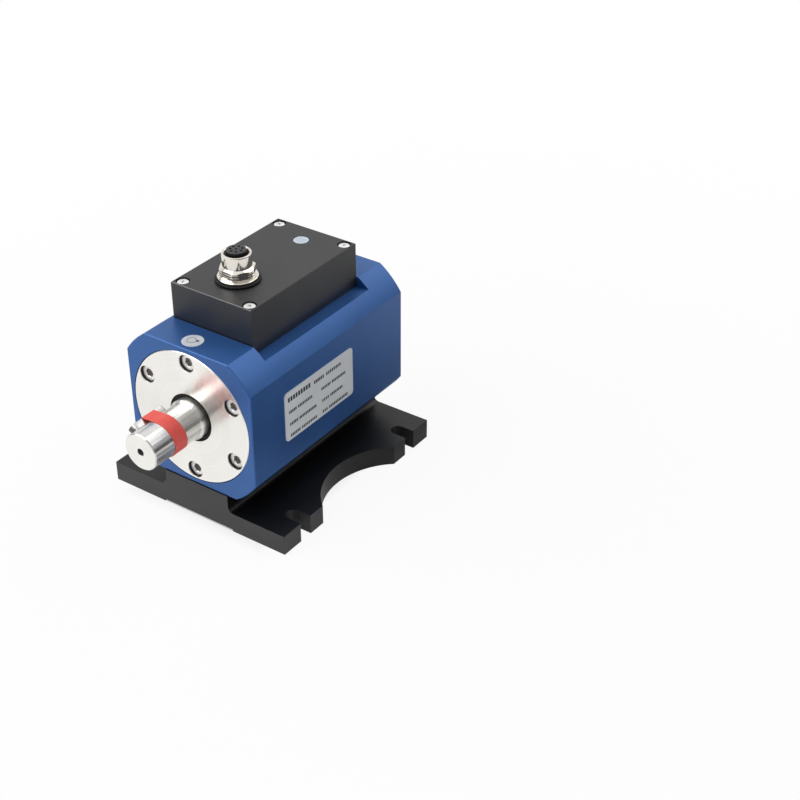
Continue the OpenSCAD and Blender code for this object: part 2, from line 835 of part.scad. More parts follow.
module stator_leads() {
    color("firebrick") at_leads() rod(lead_d, axis_h + stator_bore / 2 + winding_t, board_z + board_t + lead_d / 2);
}

// Signal box

module signal_box() {
    inner_z = box_z - box_top;
    color([0.13, 0.13, 0.14]) difference() {
        intersection() {
            translate([-box_w / 2, -box_l / 2, floor_z]) cube([box_w, box_l, box_h]);
            translate([0, 0, box_z - box_l / 2]) rotate([0, 90, 0]) linear_extrude(2 * box_w, center = true)
                chamfered_rect(box_l, box_l, box_chamfer);
            translate([0, 0, box_z - box_w / 2]) rotate([90, 0, 0]) linear_extrude(2 * box_l, center = true)
                chamfered_rect(box_w, box_w, box_chamfer);
        }
        difference() {
            translate([box_wall - box_w / 2, box_wall - box_l / 2, floor_z - eps])
                cube([box_w - 2 * box_wall, box_l - 2 * box_wall, inner_z - floor_z + eps]);
            at_corners(box_screw) rod(box_post_d, 0, box_z);
        }
        at_corners(box_screw) {
            rod(m3_d + 2 * screw_fit, 0, box_z);
            rod(m3_cbore_d, box_z - box_seat, box_z + eps);
        }
        at_socket(0) rod(shank_d + 2 * seat_fit, 0, box_z + eps);
        translate([0, window_at, 0]) rod(window_d + 2 * seat_fit, 0, box_z + eps);
    }
}

module box_screws() {
    color("silver") at_corners(box_screw) translate([0, 0, box_z - box_seat])
        cross_screw(m3_d, m3_head_d, m3_head_h, m3_l, m3_cross);
}

// A clear plug in the top of the box, with a light guide down to the lamp on the board
module indicator_window() {
    guide_d = 0.66 * window_d;
    color([0.75, 0.83, 0.9]) translate([0, window_at, 0]) {
        rod(window_d, box_z - box_top, box_z);
        rod(guide_d, board_z + board_t + chip_h + lamp_gap, box_z - box_top);
    }
}

// Circuit board

module main_board() {
    color("darkgreen") difference() {
        translate([-board_w / 2, -board_l / 2, board_z]) cube([board_w, board_l, board_t]);
        at_corners(board_screw) rod(board_screw_d + 2 * screw_fit, 0, box_z);
        at_socket(0) at_contacts() rod(contact_pin + 2 * seat_fit, 0, box_z);
        at_leads() rod(lead_d + 2 * seat_fit, 0, box_z);
    }
}

module board_spacers() {
    color("goldenrod") at_corners(board_screw) translate([0, 0, floor_z]) difference() {
        cylinder(d = spacer_af / cos(30), h = spacer_h, $fn = 6);
        rod(board_screw_d + 2 * seat_fit, spacer_h / 5, spacer_h + eps);
    }
}

module board_screws() {
    color("silver") at_corners(board_screw) translate([0, 0, board_z + board_t])
        cross_screw(board_screw_d, 1.8 * board_screw_d, 0.7 * board_screw_d, board_t + spacer_h / 2, board_screw_d);
}

// The lamp under the window and the chips between it and the socket
module board_chips() {
    lamp_w = chip_w / 2;
    color([0.1, 0.1, 0.1]) translate([0, 0, board_z + board_t]) {
        translate([-lamp_w / 2, window_at - lamp_w / 2, 0]) cube([lamp_w, lamp_w, chip_h]);
        for (x = [-1, 1], y = [-0.5, 0.5]) translate([x * chip_pitch / 2 - chip_w / 2, y * chip_pitch - chip_w / 2, 0])
            cube([chip_w, chip_w, chip_h]);
    }
}

// Socket

module socket_shell() {
    color([0.75, 0.75, 0.72]) at_socket() difference() {
        union() {
            rod(shank_d, -shank_l, gasket_t);
            rod(flange_d, gasket_t, flange_top);
            intersection() {
                rod(hex_af / cos(30), flange_top, cone_top, $fn = 6);
                union() {
                    rod(hex_d, flange_top, hex_top);
                    translate([0, 0, hex_top]) cylinder(d1 = hex_d, d2 = collar_d, h = cone_h);
                }
            }
            rod(collar_d, flange_top, rim_top - rim_chamfer);
            translate([0, 0, rim_top - rim_chamfer])
                cylinder(d1 = collar_d, d2 = collar_d - 2 * rim_chamfer, h = rim_chamfer);
        }
        rod(shank_d - 2 * shank_wall, -shank_l - eps, insert_seat);
        rod(collar_bore, 0, rim_top + eps);
        translate([0, 0, rim_top - rim_chamfer])
            cylinder(d1 = collar_bore, d2 = collar_bore + 2 * (rim_chamfer + eps), h = rim_chamfer + eps);
    }
}

module socket_nut() {
    color([0.75, 0.75, 0.72]) at_socket(box_z - box_top) difference() {
        translate([0, 0, -nut_t]) cylinder(d = nut_af / cos(30), h = nut_t, $fn = 6);
        rod(shank_d + 2 * seat_fit, -nut_t - eps, eps);
    }
}

// A flat rubber ring with a round outer edge
module socket_gasket() {
    color([0.04, 0.04, 0.04]) at_socket() rotate_extrude() {
        translate([shank_d / 2 + seat_fit, 0])
            square([(gasket_d - gasket_t - shank_d) / 2 - seat_fit, gasket_t]);
        translate([(gasket_d - gasket_t) / 2, gasket_t / 2]) circle(d = gasket_t, $fn = 36);
    }
}

// The insert: a flange held in the shank, and a drilled nose that stands out of the collar
module socket_insert() {
    insert_top = rim_top + insert_out;
    color([0.07, 0.07, 0.07]) at_socket() difference() {
        union() {
            rod(shank_d - 2 * shank_wall - 2 * seat_fit, -shank_l, insert_seat);
            rod(insert_d, insert_seat, insert_top - insert_chamfer);
            translate([0, 0, insert_top - insert_chamfer])
                cylinder(d1 = insert_d, d2 = insert_d - 2 * insert_chamfer, h = insert_chamfer);
        }
        at_contacts() rod(contact_hole + 2 * seat_fit, -shank_l - eps, insert_top + eps);
    }
}

module socket_contacts() {
    sleeve_top = rim_top + insert_out - contact_depth;
    pin_end = board_z - box_z - contact_pin;
    socket_depth = 2 * contact_depth;
    color("gold") at_socket() at_contacts() difference() {
        union() {
            rod(contact_hole, -shank_l, sleeve_top);
            rod(contact_pin, pin_end, -shank_l);
        }
        rod(contact_pin, sleeve_top - socket_depth, sleeve_top + eps);
    }
}

// Plates

module nameplate() {
    color([0.75, 0.77, 0.8]) translate([body_w / 2, -plate_y, axis_h + plate_z])
        rotate([90, 0, 90]) linear_extrude(plate_t) round_rect(plate_l, plate_h, plate_r);
}

module round_label() {
    color("white") translate([label_x, label_inset - face_u, 0]) rod(label_d, top_z, top_z + label_t);
}

base_plate();
base_screws();
housing();
front_cover();
rear_cover();
front_cover_screws();
rear_cover_screws();
front_seal();
rear_seal();
front_outer_ring();
front_inner_ring();
front_balls();
front_cage();
front_clip();
rear_outer_ring();
rear_inner_ring();
rear_balls();
rear_cage();
rear_clip();
shaft();
front_key();
rear_key();
tape_band();
strain_gauges();
rotor_core();
rotor_winding();
rotor_board();
stator_core();
stator_winding();
stator_leads();
signal_box();
box_screws();
main_board();
board_spacers();
board_screws();
board_chips();
socket_shell();
socket_nut();
socket_gasket();
socket_insert();
socket_contacts();
indicator_window();
nameplate();
round_label();
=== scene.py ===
import json
import math
from functools import partial

import bpy
from bpy.props import FloatProperty, FloatVectorProperty, IntProperty, PointerProperty
from mathutils import Matrix, Vector, noise


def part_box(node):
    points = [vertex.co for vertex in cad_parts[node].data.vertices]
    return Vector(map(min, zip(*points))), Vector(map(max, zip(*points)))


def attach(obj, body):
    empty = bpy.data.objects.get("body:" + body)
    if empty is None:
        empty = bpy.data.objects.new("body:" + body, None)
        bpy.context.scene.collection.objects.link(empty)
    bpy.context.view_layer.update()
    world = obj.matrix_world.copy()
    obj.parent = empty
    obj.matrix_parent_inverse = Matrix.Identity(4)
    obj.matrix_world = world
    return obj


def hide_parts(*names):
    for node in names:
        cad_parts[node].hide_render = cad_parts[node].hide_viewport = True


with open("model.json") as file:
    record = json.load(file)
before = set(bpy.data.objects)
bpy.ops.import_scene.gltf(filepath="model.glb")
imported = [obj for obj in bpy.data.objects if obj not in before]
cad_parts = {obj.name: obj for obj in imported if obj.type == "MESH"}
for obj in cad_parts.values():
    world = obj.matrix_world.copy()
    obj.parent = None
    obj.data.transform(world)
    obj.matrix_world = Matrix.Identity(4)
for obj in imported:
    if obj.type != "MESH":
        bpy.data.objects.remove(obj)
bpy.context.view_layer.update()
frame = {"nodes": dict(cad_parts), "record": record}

bl_info = {
    "name": "Rotary torque sensor",
    "version": (1, 0, 0),
    "blender": (4, 5, 0),
    "location": "View3D > Sidebar > Sensor",
    "description": "Finishes and modelled details of a rotary torque sensor",
    "category": "Object",
}

MM = 0.001
TINY = 1e-7
SLOT_OF = {p["node"]: p["material_slot"] for p in frame["record"]["subparts"]}
ENDS = (("front", -1), ("rear", 1))


def middle_of(node, axis):
    """The middle of a node along one axis."""
    low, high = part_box(node)
    return (low[axis] + high[axis]) / 2


# Places that the frame gives
AXIS_Z = middle_of("shaft", 2)
FACE_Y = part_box("front_cover")[0].y
SHAFT_END_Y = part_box("shaft")[0].y
BOX_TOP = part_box("signal_box")[1].z
SOCKET_Y = middle_of("socket_shell", 1)
WINDOW_Y = middle_of("indicator_window", 1)
PLATE_LOW, PLATE_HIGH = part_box("nameplate")
LABEL_LOW, LABEL_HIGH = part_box("round_label")
TAPE_LOW, TAPE_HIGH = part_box("tape_band")
SOCKET_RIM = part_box("socket_shell")[1].z
INSERT_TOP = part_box("socket_insert")[1].z
PAN_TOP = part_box("box_screws")[1].z
BASE_END_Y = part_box("base_plate")[1].y

# Places on the base that its box doesn't give: the top of its feet, and half its width between the cut-outs
FOOT_TOP = 10.5 * MM
BASE_WAIST = 38 * MM


# Properties

def length(name, description, mm):
    """A length property, given in millimetres."""
    return FloatProperty(name=name, description=description, default=mm * MM,
                         subtype="DISTANCE", unit="LENGTH", precision=5)


def angle(name, description, degrees):
    """An angle property, given in degrees."""
    return FloatProperty(name=name, description=description, default=math.radians(degrees),
                         subtype="ANGLE", unit="ROTATION")


def colour(name, description, red, green, blue):
    """A colour property, in linear values."""
    return FloatVectorProperty(name=name, description=description, default=(red, green, blue),
                               size=3, min=0.0, max=1.0, subtype="COLOR")


def share(name, description, value):
    """A plain share from 0 to 1."""
    return FloatProperty(name=name, description=description, default=value,
                         min=0.0, max=1.0, subtype="FACTOR")


def power(name, description, watts):
    """The power of a light."""
    return FloatProperty(name=name, description=description, default=watts, unit="POWER")


class SensorColours(bpy.types.PropertyGroup):
    """Colours of the finishes"""

    blue: colour("Blue", "Dyed housing", 0.027, 0.122, 0.38)
    blue_deep: colour("Deep blue", "Darker clouds in the dyed housing", 0.022, 0.105, 0.335)
    # Painted highlight: a paler blue along the housing's edges
    blue_edge: colour("Blue edge", "Thin dye along the housing's edges", 0.09, 0.16, 0.28)
    black: colour("Black", "Dyed signal box", 0.007, 0.007, 0.0085)
    # Painted shade: the base is darker than the box's black, for the shade on its top
    black_base: colour("Black base", "Dyed base", 0.0015, 0.0015, 0.0018)
    # Painted highlight along the edges of black parts
    black_edge: colour("Black edge", "Thin dye along black edges", 0.04, 0.04, 0.043)
    # Painted light: the base's upright sides are paler than its top
    black_milled: colour("Black milled", "Dye on the milled sides of the base", 0.036, 0.036, 0.037)
    # Painted highlight on the box's broken edges
    black_broken: colour("Black broken edge", "Thin dye on the broken edges of the box", 0.17, 0.17, 0.173)
    dust: colour("Dust", "Specks on black surfaces", 0.22, 0.22, 0.21)
    steel: colour("Steel", "Turned end covers", 0.91, 0.89, 0.85)
    steel_dark: colour("Dark steel", "Tool marks in turned steel", 0.72, 0.70, 0.67)
    shaft: colour("Shaft", "Ground shaft", 0.84, 0.83, 0.80)
    shaft_dark: colour("Dark shaft", "Streaks along the shaft", 0.50, 0.49, 0.47)
    # Painted shade in the seats, centre holes and bores of bright metal
    recess: colour("Recess", "Sunk seats and bores in bright metal", 0.03, 0.03, 0.031)
    # Painted shade in the screws' hexagon sockets and cross recesses
    broached: colour("Broached", "Hexagons and crosses in the screws", 0.42, 0.41, 0.40)
    nickel: colour("Nickel", "Plated socket", 0.78, 0.74, 0.67)
    rubber: colour("Rubber", "Seals and gasket", 0.008, 0.008, 0.008)
    tape: colour("Tape", "Red tape", 1.0, 0.12, 0.095)
    plate: colour("Plate", "Silver nameplate", 0.85, 0.88, 0.92)
    ink: colour("Ink", "Print on the plate", 0.035, 0.035, 0.04)
    label: colour("Label", "White round label", 0.90, 0.94, 1.0)
    mark: colour("Mark", "Grey mark on the round label", 0.12, 0.14, 0.18)
    window: colour("Window", "Middle of the indicator window", 0.54, 0.63, 0.76)
    window_rim: colour("Window rim", "Rim of the indicator window", 0.72, 0.78, 0.86)


class SensorScrews(bpy.types.PropertyGroup):
    """Sizes of the screws"""

    head_d: length("Socket head", "Diameter of the socket screws' heads", 8.4)
    head_h: length("Socket head height", "Height of the socket screws' heads", 5.0)
    hexagon: length("Hexagon", "Size of the hexagon sockets", 4.0)
    thread_d: length("Thread", "Diameter of the socket screws' threads", 5.0)
    cover_circle: length("Cover circle", "Circle of the cover screws", 59.3)
    cover_seat: length("Cover seat", "Depth of the cover screws' seats below the face", 6.5)
    cover_length: length("Cover screw length", "Length of the cover screws under the head", 10.0)
    cover_count: IntProperty(name="Cover screws", description="Number of screws in a cover", default=6)
    base_x: length("Base screws across", "Distance between the left and right base screws", 24.0)
    base_y: length("Base screws along", "Distance between the front and rear base screws", 76.0)
    base_seat: length("Base seat", "Height of the base screws' seats", 7.1)
    base_length: length("Base screw length", "Length of the base screws under the head", 20.0)
    pan_d: length("Pan head", "Diameter of the box screws' heads", 5.7)
    pan_h: length("Pan head height", "Height of the box screws' heads", 2.2)
    pan_thread_d: length("Pan thread", "Diameter of the box screws' threads", 3.0)
    pan_seat: length("Pan seat", "Depth of the box screws' seats below the top", 2.6)
    pan_length: length("Box screw length", "Length of the box screws under the head", 25.0)
    pan_inset: length("Pan inset", "Distance of the box screws from the box's sides", 4.0)
    cross: length("Cross", "Length across the cross recess", 3.1)


class SensorSocket(bpy.types.PropertyGroup):
    """Sizes of the cable socket, in heights above the top of the box"""

    shank_d: length("Shank", "Diameter of the shank through the box", 16.0)
    shank_low: length("Shank end", "Depth of the shank's end below the top", 8.5)
    inner_d: length("Inner bore", "Bore behind the insert's flange", 12.6)
    flange_d: length("Flange", "Diameter of the flange", 19.6)
    flange_low: length("Flange bottom", "Height of the flange's underside", 1.3)
    flange_high: length("Flange top", "Height of the flange's top", 2.4)
    hexagon: length("Hexagon", "Width across the flats", 16.2)
    drum_d: length("Drum", "Diameter over the hexagon's corners", 17.6)
    drum_high: length("Drum top", "Height of the hexagon without its cone", 6.5)
    cone_high: length("Cone top", "Height of the cone's top", 7.7)
    collar_d: length("Collar", "Diameter of the collar", 14.3)
    rim_high: length("Rim", "Height of the collar's rim", 14.1)
    bore_d: length("Bore", "Bore of the collar", 11.8)
    thread_depth: length("Thread depth", "Depth of the thread inside the collar", 0.45)
    thread_pitch: length("Thread pitch", "Pitch of the thread inside the collar", 1.0)
    groove_pitch: length("Groove pitch", "Distance between the grooves in the hexagon's corners", 1.25)
    groove_depth: length("Groove depth", "Depth of the grooves in the hexagon's corners", 0.42)


class SensorShaft(bpy.types.PropertyGroup):
    """Sizes of the keys and the tape"""

    shaft_d: length("Shaft end", "Diameter of the shaft ends", 19.0)
    key_angle: angle("Key angle", "Angle of the keys about the shaft", 150.0)
    key_w: length("Key width", "Width of the keys", 6.0)
    key_h: length("Key height", "Height of the keys", 6.0)
    key_l: length("Key length", "Length of the keys", 22.0)
    key_depth: length("Key depth", "Depth of the keyways", 3.2)
    key_inset: length("Key inset", "Distance from the shaft's end to the key", 4.6)
    key_edge: length("Key edge", "Broken edges of the keys", 0.3)
    tape_t: length("Tape thickness", "Thickness of the tape", 0.16)
    tape_gap: length("Tape gap", "Gap between the tape and what it is wound on", 0.06)
    tape_overlap: length("Tape overlap", "Length of the tape's overlapping end", 7.0)
    tape_slant: FloatProperty(name="Tape slant", default=0.11,
                              description="How far the tape runs back per length down the shaft")


class SensorStage(bpy.types.PropertyGroup):
    """Camera and light"""

    camera: FloatVectorProperty(name="Camera", description="Place of the camera",
                                default=(0.4279, -0.5042, 0.4651), size=3, subtype="XYZ", unit="LENGTH")
    azimuth: angle("Azimuth", "Side that the camera looks from", 34.76)
    elevation: angle("Elevation", "Height that the camera looks from", 33.15)
    lens: FloatProperty(name="Lens", description="Focal length in millimetres", default=70.42)
    floor: colour("Floor", "Colour of the floor", 0.90, 0.90, 0.90)
    patch: colour("Patch", "Floor at the right, as it gives light back", 0.07, 0.07, 0.07)
    veil: share("Veil", "How white the floor looks to the camera where the shadow falls", 0.92)
    sky: share("Sky", "Strength of the even light from all round", 0.26)
    key: power("Key", "Power of the large light on the left", 30.0)
    fill: power("Fill", "Power of the light from behind", 8.0)
    room: share("Room", "Light that metal shows from the room in front", 0.35)
    gap: share("Gap", "Light that metal shows from the gap in the white sweep", 0.35)
    flag_x: length("Flag distance", "Distance of the dark flag at the right", 400.0)
    flag_h: length("Flag height", "Height of the dark flag at the right", 260.0)


# Shaping

def deselect():
    """Clears the selection, so that an operator acts on nothing but the new piece."""
    bpy.ops.object.select_all(action="DESELECT")


def mode(kind):
    """Goes into edit mode or back to object mode."""
    bpy.ops.object.mode_set(mode=kind)


def named(name):
    """Names the active object and its mesh."""
    piece = bpy.context.object
    piece.name = name
    piece.data.name = name
    return piece


def choose(piece):
    """Makes a piece the only one selected."""
    deselect()
    piece.select_set(True)
    bpy.context.view_layer.objects.active = piece
    return piece


def settle(piece):
    """Moves a piece's place into its mesh."""
    choose(piece)
    bpy.ops.object.transform_apply(location=True, rotation=True, scale=True)
    return piece


def smooth(piece, degrees=32.0):
    """Shades round faces smooth and keeps sharp edges."""
    choose(piece)
    bpy.ops.object.shade_smooth_by_angle(angle=math.radians(degrees))
    return piece


def face_outward():
    """Turns every face of the edited piece outward, and ends the edit."""
    bpy.ops.mesh.select_all(action="SELECT")
    bpy.ops.mesh.normals_make_consistent(inside=False)
    mode("OBJECT")


def narrow(share_left):
    """Draws what is selected in towards the Z axis, and ends the edit."""
    bpy.ops.transform.resize(value=(share_left, share_left, 1), center_override=(0, 0, 0))
    mode("OBJECT")


def turned(name, profile, segments=96, turn=0.0, ring=False):
    """Turns a profile of radii and heights about Z: a circle is extruded and resized step by step.
    A ring's profile comes back to its start. Otherwise both ends are closed."""
    deselect()
    radius, height = profile[0]
    bpy.ops.mesh.primitive_circle_add(vertices=segments, radius=radius, location=(0, 0, height),
                                      rotation=(0, 0, turn))
    piece = settle(named(name))
    mode("EDIT")
    bpy.ops.mesh.select_mode(type="VERT")
    bpy.ops.mesh.select_all(action="SELECT")
    for (r0, z0), (r1, z1) in zip(profile, profile[1:]):
        bpy.ops.mesh.extrude_region_move(TRANSFORM_OT_translate={"value": (0, 0, z1 - z0)})
        bpy.ops.transform.resize(value=(r1 / r0, r1 / r0, 1), center_override=(0, 0, z1))
    bpy.ops.mesh.select_all(action="SELECT")
    if ring:
        bpy.ops.mesh.remove_doubles(threshold=TINY)
    else:
        bpy.ops.mesh.fill_holes(sides=0)
    face_outward()
    return piece


def combine(piece, tool, operation):
    """Cuts, joins or keeps the overlap of a piece and a tool, which is used up."""
    choose(piece)
    step = piece.modifiers.new(operation.lower(), "BOOLEAN")
    step.operation = operation
    step.solver = "EXACT"
    step.object = tool
    bpy.ops.object.modifier_apply(modifier=step.name)
    bpy.data.objects.remove(tool)
    return piece


def set_out(piece, places, name):
    """Copies a piece to each place, with a mesh of its own, and joins the copies into one group."""
    deselect()
    for place in places:
        twin = piece.copy()
        twin.data = piece.data.copy()
        bpy.context.scene.collection.objects.link(twin)
        twin.matrix_world = place
        twin.select_set(True)
        bpy.context.view_layer.objects.active = twin
    bpy.data.objects.remove(piece)
    bpy.ops.object.join()
    return settle(named(name))


def select_verts(piece, test):
    """Selects the vertices whose place passes a test, and stays in edit mode."""
    mode("EDIT")
    bpy.ops.mesh.select_mode(type="VERT")
    bpy.ops.mesh.select_all(action="DESELECT")
    mode("OBJECT")
    for vert in piece.data.vertices:
        vert.select = bool(test(vert.co))
    mode("EDIT")


def bevel_edges(piece, width, segments, test):
    """Bevels the edges whose two ends pass a test."""
    choose(piece)
    select_verts(piece, lambda co: False)
    bpy.ops.mesh.select_mode(type="EDGE")
    mode("OBJECT")
    at = piece.data.vertices
    for edge in piece.data.edges:
        edge.select = bool(test(at[edge.vertices[0]].co, at[edge.vertices[1]].co))
    mode("EDIT")
    bpy.ops.mesh.bevel(offset=width, offset_type="OFFSET", segments=segments, affect="EDGES")
    mode("OBJECT")
    return piece


def dress(piece, slot):
    """Gives a piece the finish of a slot."""
    material = finish(slot)
    if not piece.material_slots:
        piece.data.materials.append(material)
    for place in piece.material_slots:
        place.material = material
    return piece


def paint(*nodes, look=None):
    """Gives carried-over nodes the finish of their own slot, or another look."""
    for node in nodes:
        dress(frame["nodes"][node], look or SLOT_OF[node])


def hand_over(piece, body, slot, *nodes, look=None):
    """Lets a new piece ride on a body, take a finish and stand for the nodes that it replaces."""
    dress(piece, look or slot)
    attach(piece, body)
    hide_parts(*nodes)
    return piece


# Finishes

class Patterns:
    """The nodes of one material or world, with short calls for what they share."""

    def __init__(self, tree):
        self.nodes, self.links = tree.nodes, tree.links
        self.nodes.clear()

    def node(self, kind, inputs, **settings):
        """Adds a node, sets its options, and links or sets its inputs."""
        made = self.nodes.new(kind)
        for key, value in settings.items():
            setattr(made, key, value)
        for key, value in inputs.items():
            if isinstance(value, bpy.types.NodeSocket):
                self.links.new(value, made.inputs[key])
            else:
                made.inputs[key].default_value = value
        return made

    def math(self, operation, first, second=0.0):
        """Reckons with two values."""
        return self.node("ShaderNodeMath", {0: first, 1: second}, operation=operation).outputs[0]

    def vector(self, operation, first, second=(0, 0, 0)):
        """Reckons one value from two vectors."""
        return self.node("ShaderNodeVectorMath", {0: first, 1: second}, operation=operation).outputs["Value"]

    def split(self, vector):
        """The three parts of a vector."""
        return self.node("ShaderNodeSeparateXYZ", {0: vector}).outputs

    def spread(self, value, low, high, to_low=0.0, to_high=1.0):
        """Maps one range of values to another."""
        return self.node("ShaderNodeMapRange", {"Value": value, "From Min": low, "From Max": high,
                                                "To Min": to_low, "To Max": to_high}).outputs["Result"]

    def vary(self, pattern, to_low, to_high):
        """Maps the range that a noise mostly keeps to."""
        return self.spread(pattern, 0.3, 0.7, to_low, to_high)


class Finish(Patterns):
    """The nodes of one material, with the patterns that the finishes share."""

    def __init__(self, name, **sockets):
        self.material = bpy.data.materials.new(name)
        self.material.use_nodes = True
        super().__init__(self.material.node_tree)
        self.surface = self.nodes.new("ShaderNodeBsdfPrincipled")
        self.output = self.nodes.new("ShaderNodeOutputMaterial")
        self.links.new(self.surface.outputs["BSDF"], self.output.inputs["Surface"])
        self.place = self.nodes.new("ShaderNodeTexCoord").outputs["Object"]
        for socket, value in sockets.items():
            self.surface.inputs[socket.replace("_", " ")].default_value = value

    def feed(self, **sources):
        """Links patterns to the surface's sockets."""
        for socket, source in sources.items():
            self.links.new(source, self.surface.inputs[socket.replace("_", " ")])
        return self

    def mapped(self, location=(0, 0, 0), scale=(1, 1, 1)):
        """The place on the object, moved or stretched."""
        return self.node("ShaderNodeMapping", {"Vector": self.place, "Location": location,
                                               "Scale": scale}).outputs["Vector"]

    def noise(self, scale, detail=2.0, vector=None):
        """A noise with about so many grains per metre."""
        return self.node("ShaderNodeTexNoise", {"Vector": vector or self.place, "Scale": scale,
                                                "Detail": detail, "Roughness": 0.55}).outputs["Fac"]

    def mix(self, part, first, second):
        """Goes from one colour to another."""
        pair = [c if isinstance(c, bpy.types.NodeSocket) else (*c, 1.0) for c in (first, second)]
        return self.node("ShaderNodeMix", {0: part, 6: pair[0], 7: pair[1]}, data_type="RGBA").outputs[2]

    def normal(self):
        """The way that a face looks."""
        return self.node("ShaderNodeNewGeometry", {}).outputs["Normal"]

    def soft_edge(self, radius):
        """The normal with its edges rounded off."""
        return self.node("ShaderNodeBevel", {"Radius": radius}, samples=4).outputs["Normal"]

    def edge_mask(self, rounded, strength):
        """How far the rounded normal turns away, which marks the edges."""
        facing = self.vector("DOT_PRODUCT", rounded, self.normal())
        return self.spread(facing, 1.0, 0.72, 0.0, strength)

    def bump(self, height, strength, distance, normal=None):
        """A normal with a pattern's relief."""
        inputs = {"Height": height, "Strength": strength, "Distance": distance}
        if normal:
            inputs["Normal"] = normal
        return self.node("ShaderNodeBump", inputs).outputs["Normal"]

    def about_shaft(self):
        """Coordinates that follow a turned piece: radius, place along the shaft, and nothing."""
        x, y, z = self.split(self.mapped(location=(0, 0, -AXIS_Z)))
        radius = self.vector("LENGTH", self.node("ShaderNodeCombineXYZ", {0: x, 2: z}).outputs[0])
        return self.node("ShaderNodeCombineXYZ", {0: radius, 1: y}).outputs[0]

    def from_upright(self, y):
        """Distance from the upright line at a place along the middle of the object."""
        x, along, _ = self.split(self.mapped(location=(0, -y, 0)))
        return self.vector("LENGTH", self.node("ShaderNodeCombineXYZ", {0: x, 1: along}).outputs[0])

    def from_middle(self):
        """Distance from the middle of the object along the shaft."""
        return self.math("ABSOLUTE", self.split(self.place)[1])


def hues():
    """The colours that a user can change."""
    return bpy.context.scene.sensor_colours


def tint_of(tint):
    """A colour by its name among those that a user can change, or as it is given."""
    return getattr(hues(), tint) if isinstance(tint, str) else tint


def below_face(f, depth):
    """Marks what lies further inwards along the shaft than a depth below the covers' faces."""
    return f.spread(f.from_middle(), -FACE_Y - depth - 0.3 * MM, -FACE_Y - depth, 1.0, 0.0)


def below_height(f, height):
    """Marks what lies below a height."""
    return f.spread(f.split(f.place)[2], height - 0.2 * MM, height, 1.0, 0.0)


def in_bore(f):
    """Marks the inside of the socket's collar, where its bore gets painted shade."""
    inside = f.spread(f.from_upright(SOCKET_Y), 6.1 * MM, 6.3 * MM, 1.0, 0.0)
    return f.math("MULTIPLY", inside, below_height(f, SOCKET_RIM - 0.2 * MM))


def shaded_key_ends(f):
    """Marks the rounded ends of the keys, which get painted shade."""
    s = bpy.context.scene.sensor_shaft
    half = s.key_l / 2
    middle = -SHAFT_END_Y - s.key_inset - half
    from_key = f.math("ABSOLUTE", f.math("SUBTRACT", f.from_middle(), middle))
    return f.spread(from_key, half - 1.1 * MM, half - 0.9 * MM)


def lit_side_mask(f):
    """Marks the base's upright sides, apart from the pedestal's long sides, which painted light makes paler
    than the top.
    """
    _, end, up = f.split(f.normal())
    ends = f.spread(f.math("ABSOLUTE", end), 0.7, 0.95)
    upright = f.spread(f.math("ABSOLUTE", up), 0.05, 0.3, 1.0, 0.0)
    foot = f.spread(f.split(f.place)[2], FOOT_TOP, FOOT_TOP + 0.1 * MM, 1.0, 0.0)
    return f.math("MULTIPLY", upright, f.math("MAXIMUM", ends, foot))


def broken_edges(f):
    """Marks the broken edges across both ends of the box's top, which get a painted highlight."""
    _, end, up = f.split(f.normal())
    return f.math("MULTIPLY", f.spread(f.math("ABSOLUTE", end), 0.5, 0.65), f.spread(up, 0.5, 0.65))


def cover_shade(f, base):
    """Painted shade in the seats of the end covers."""
    return base, below_face(f, 0.3 * MM)


def shaft_shade(f, base):
    """Streaks along the shaft, plain end faces and painted shade in the centre holes."""
    end = -SHAFT_END_Y
    radius, along, _ = f.split(f.about_shaft())
    out = f.math("ABSOLUTE", along)
    streaks = f.noise(330.0, 3.0, f.mapped(scale=(1.0, 0.03, 1.0)))
    long_side = f.spread(out, end - 0.1 * MM, end - 0.02 * MM, 1.0, 0.0)
    streaked = f.mix(f.vary(streaks, 0.0, 1.0), hues().shaft, hues().shaft_dark)
    hole = f.math("MULTIPLY", f.spread(out, end - 0.4 * MM, end - 0.05 * MM, 1.0, 0.0),
                  f.spread(radius, 2.3 * MM, 2.6 * MM, 1.0, 0.0))
    return f.mix(long_side, base, streaked), hole


def blue_anodised(name):
    """Blasted and dyed aluminium: soft clouds, a fine grain and a painted highlight along the edges."""
    f = Finish(name, Metallic=0.4, Specular_IOR_Level=0.65)
    clouds, grain = f.noise(28.0, 3.0), f.noise(3600.0)
    rounded = f.soft_edge(0.1 * MM)
    dyed = f.mix(f.spread(clouds, 0.35, 0.65), hues().blue_deep, hues().blue)
    # Painted highlight along the edges
    edge_lit = f.mix(f.edge_mask(rounded, 0.25), dyed, hues().blue_edge)
    rough = f.math("ADD", f.vary(grain, 0.38, 0.46), f.vary(clouds, -0.02, 0.03))
    return f.feed(Base_Color=edge_lit, Roughness=rough, Normal=f.bump(grain, 0.10, 0.1 * MM, rounded))


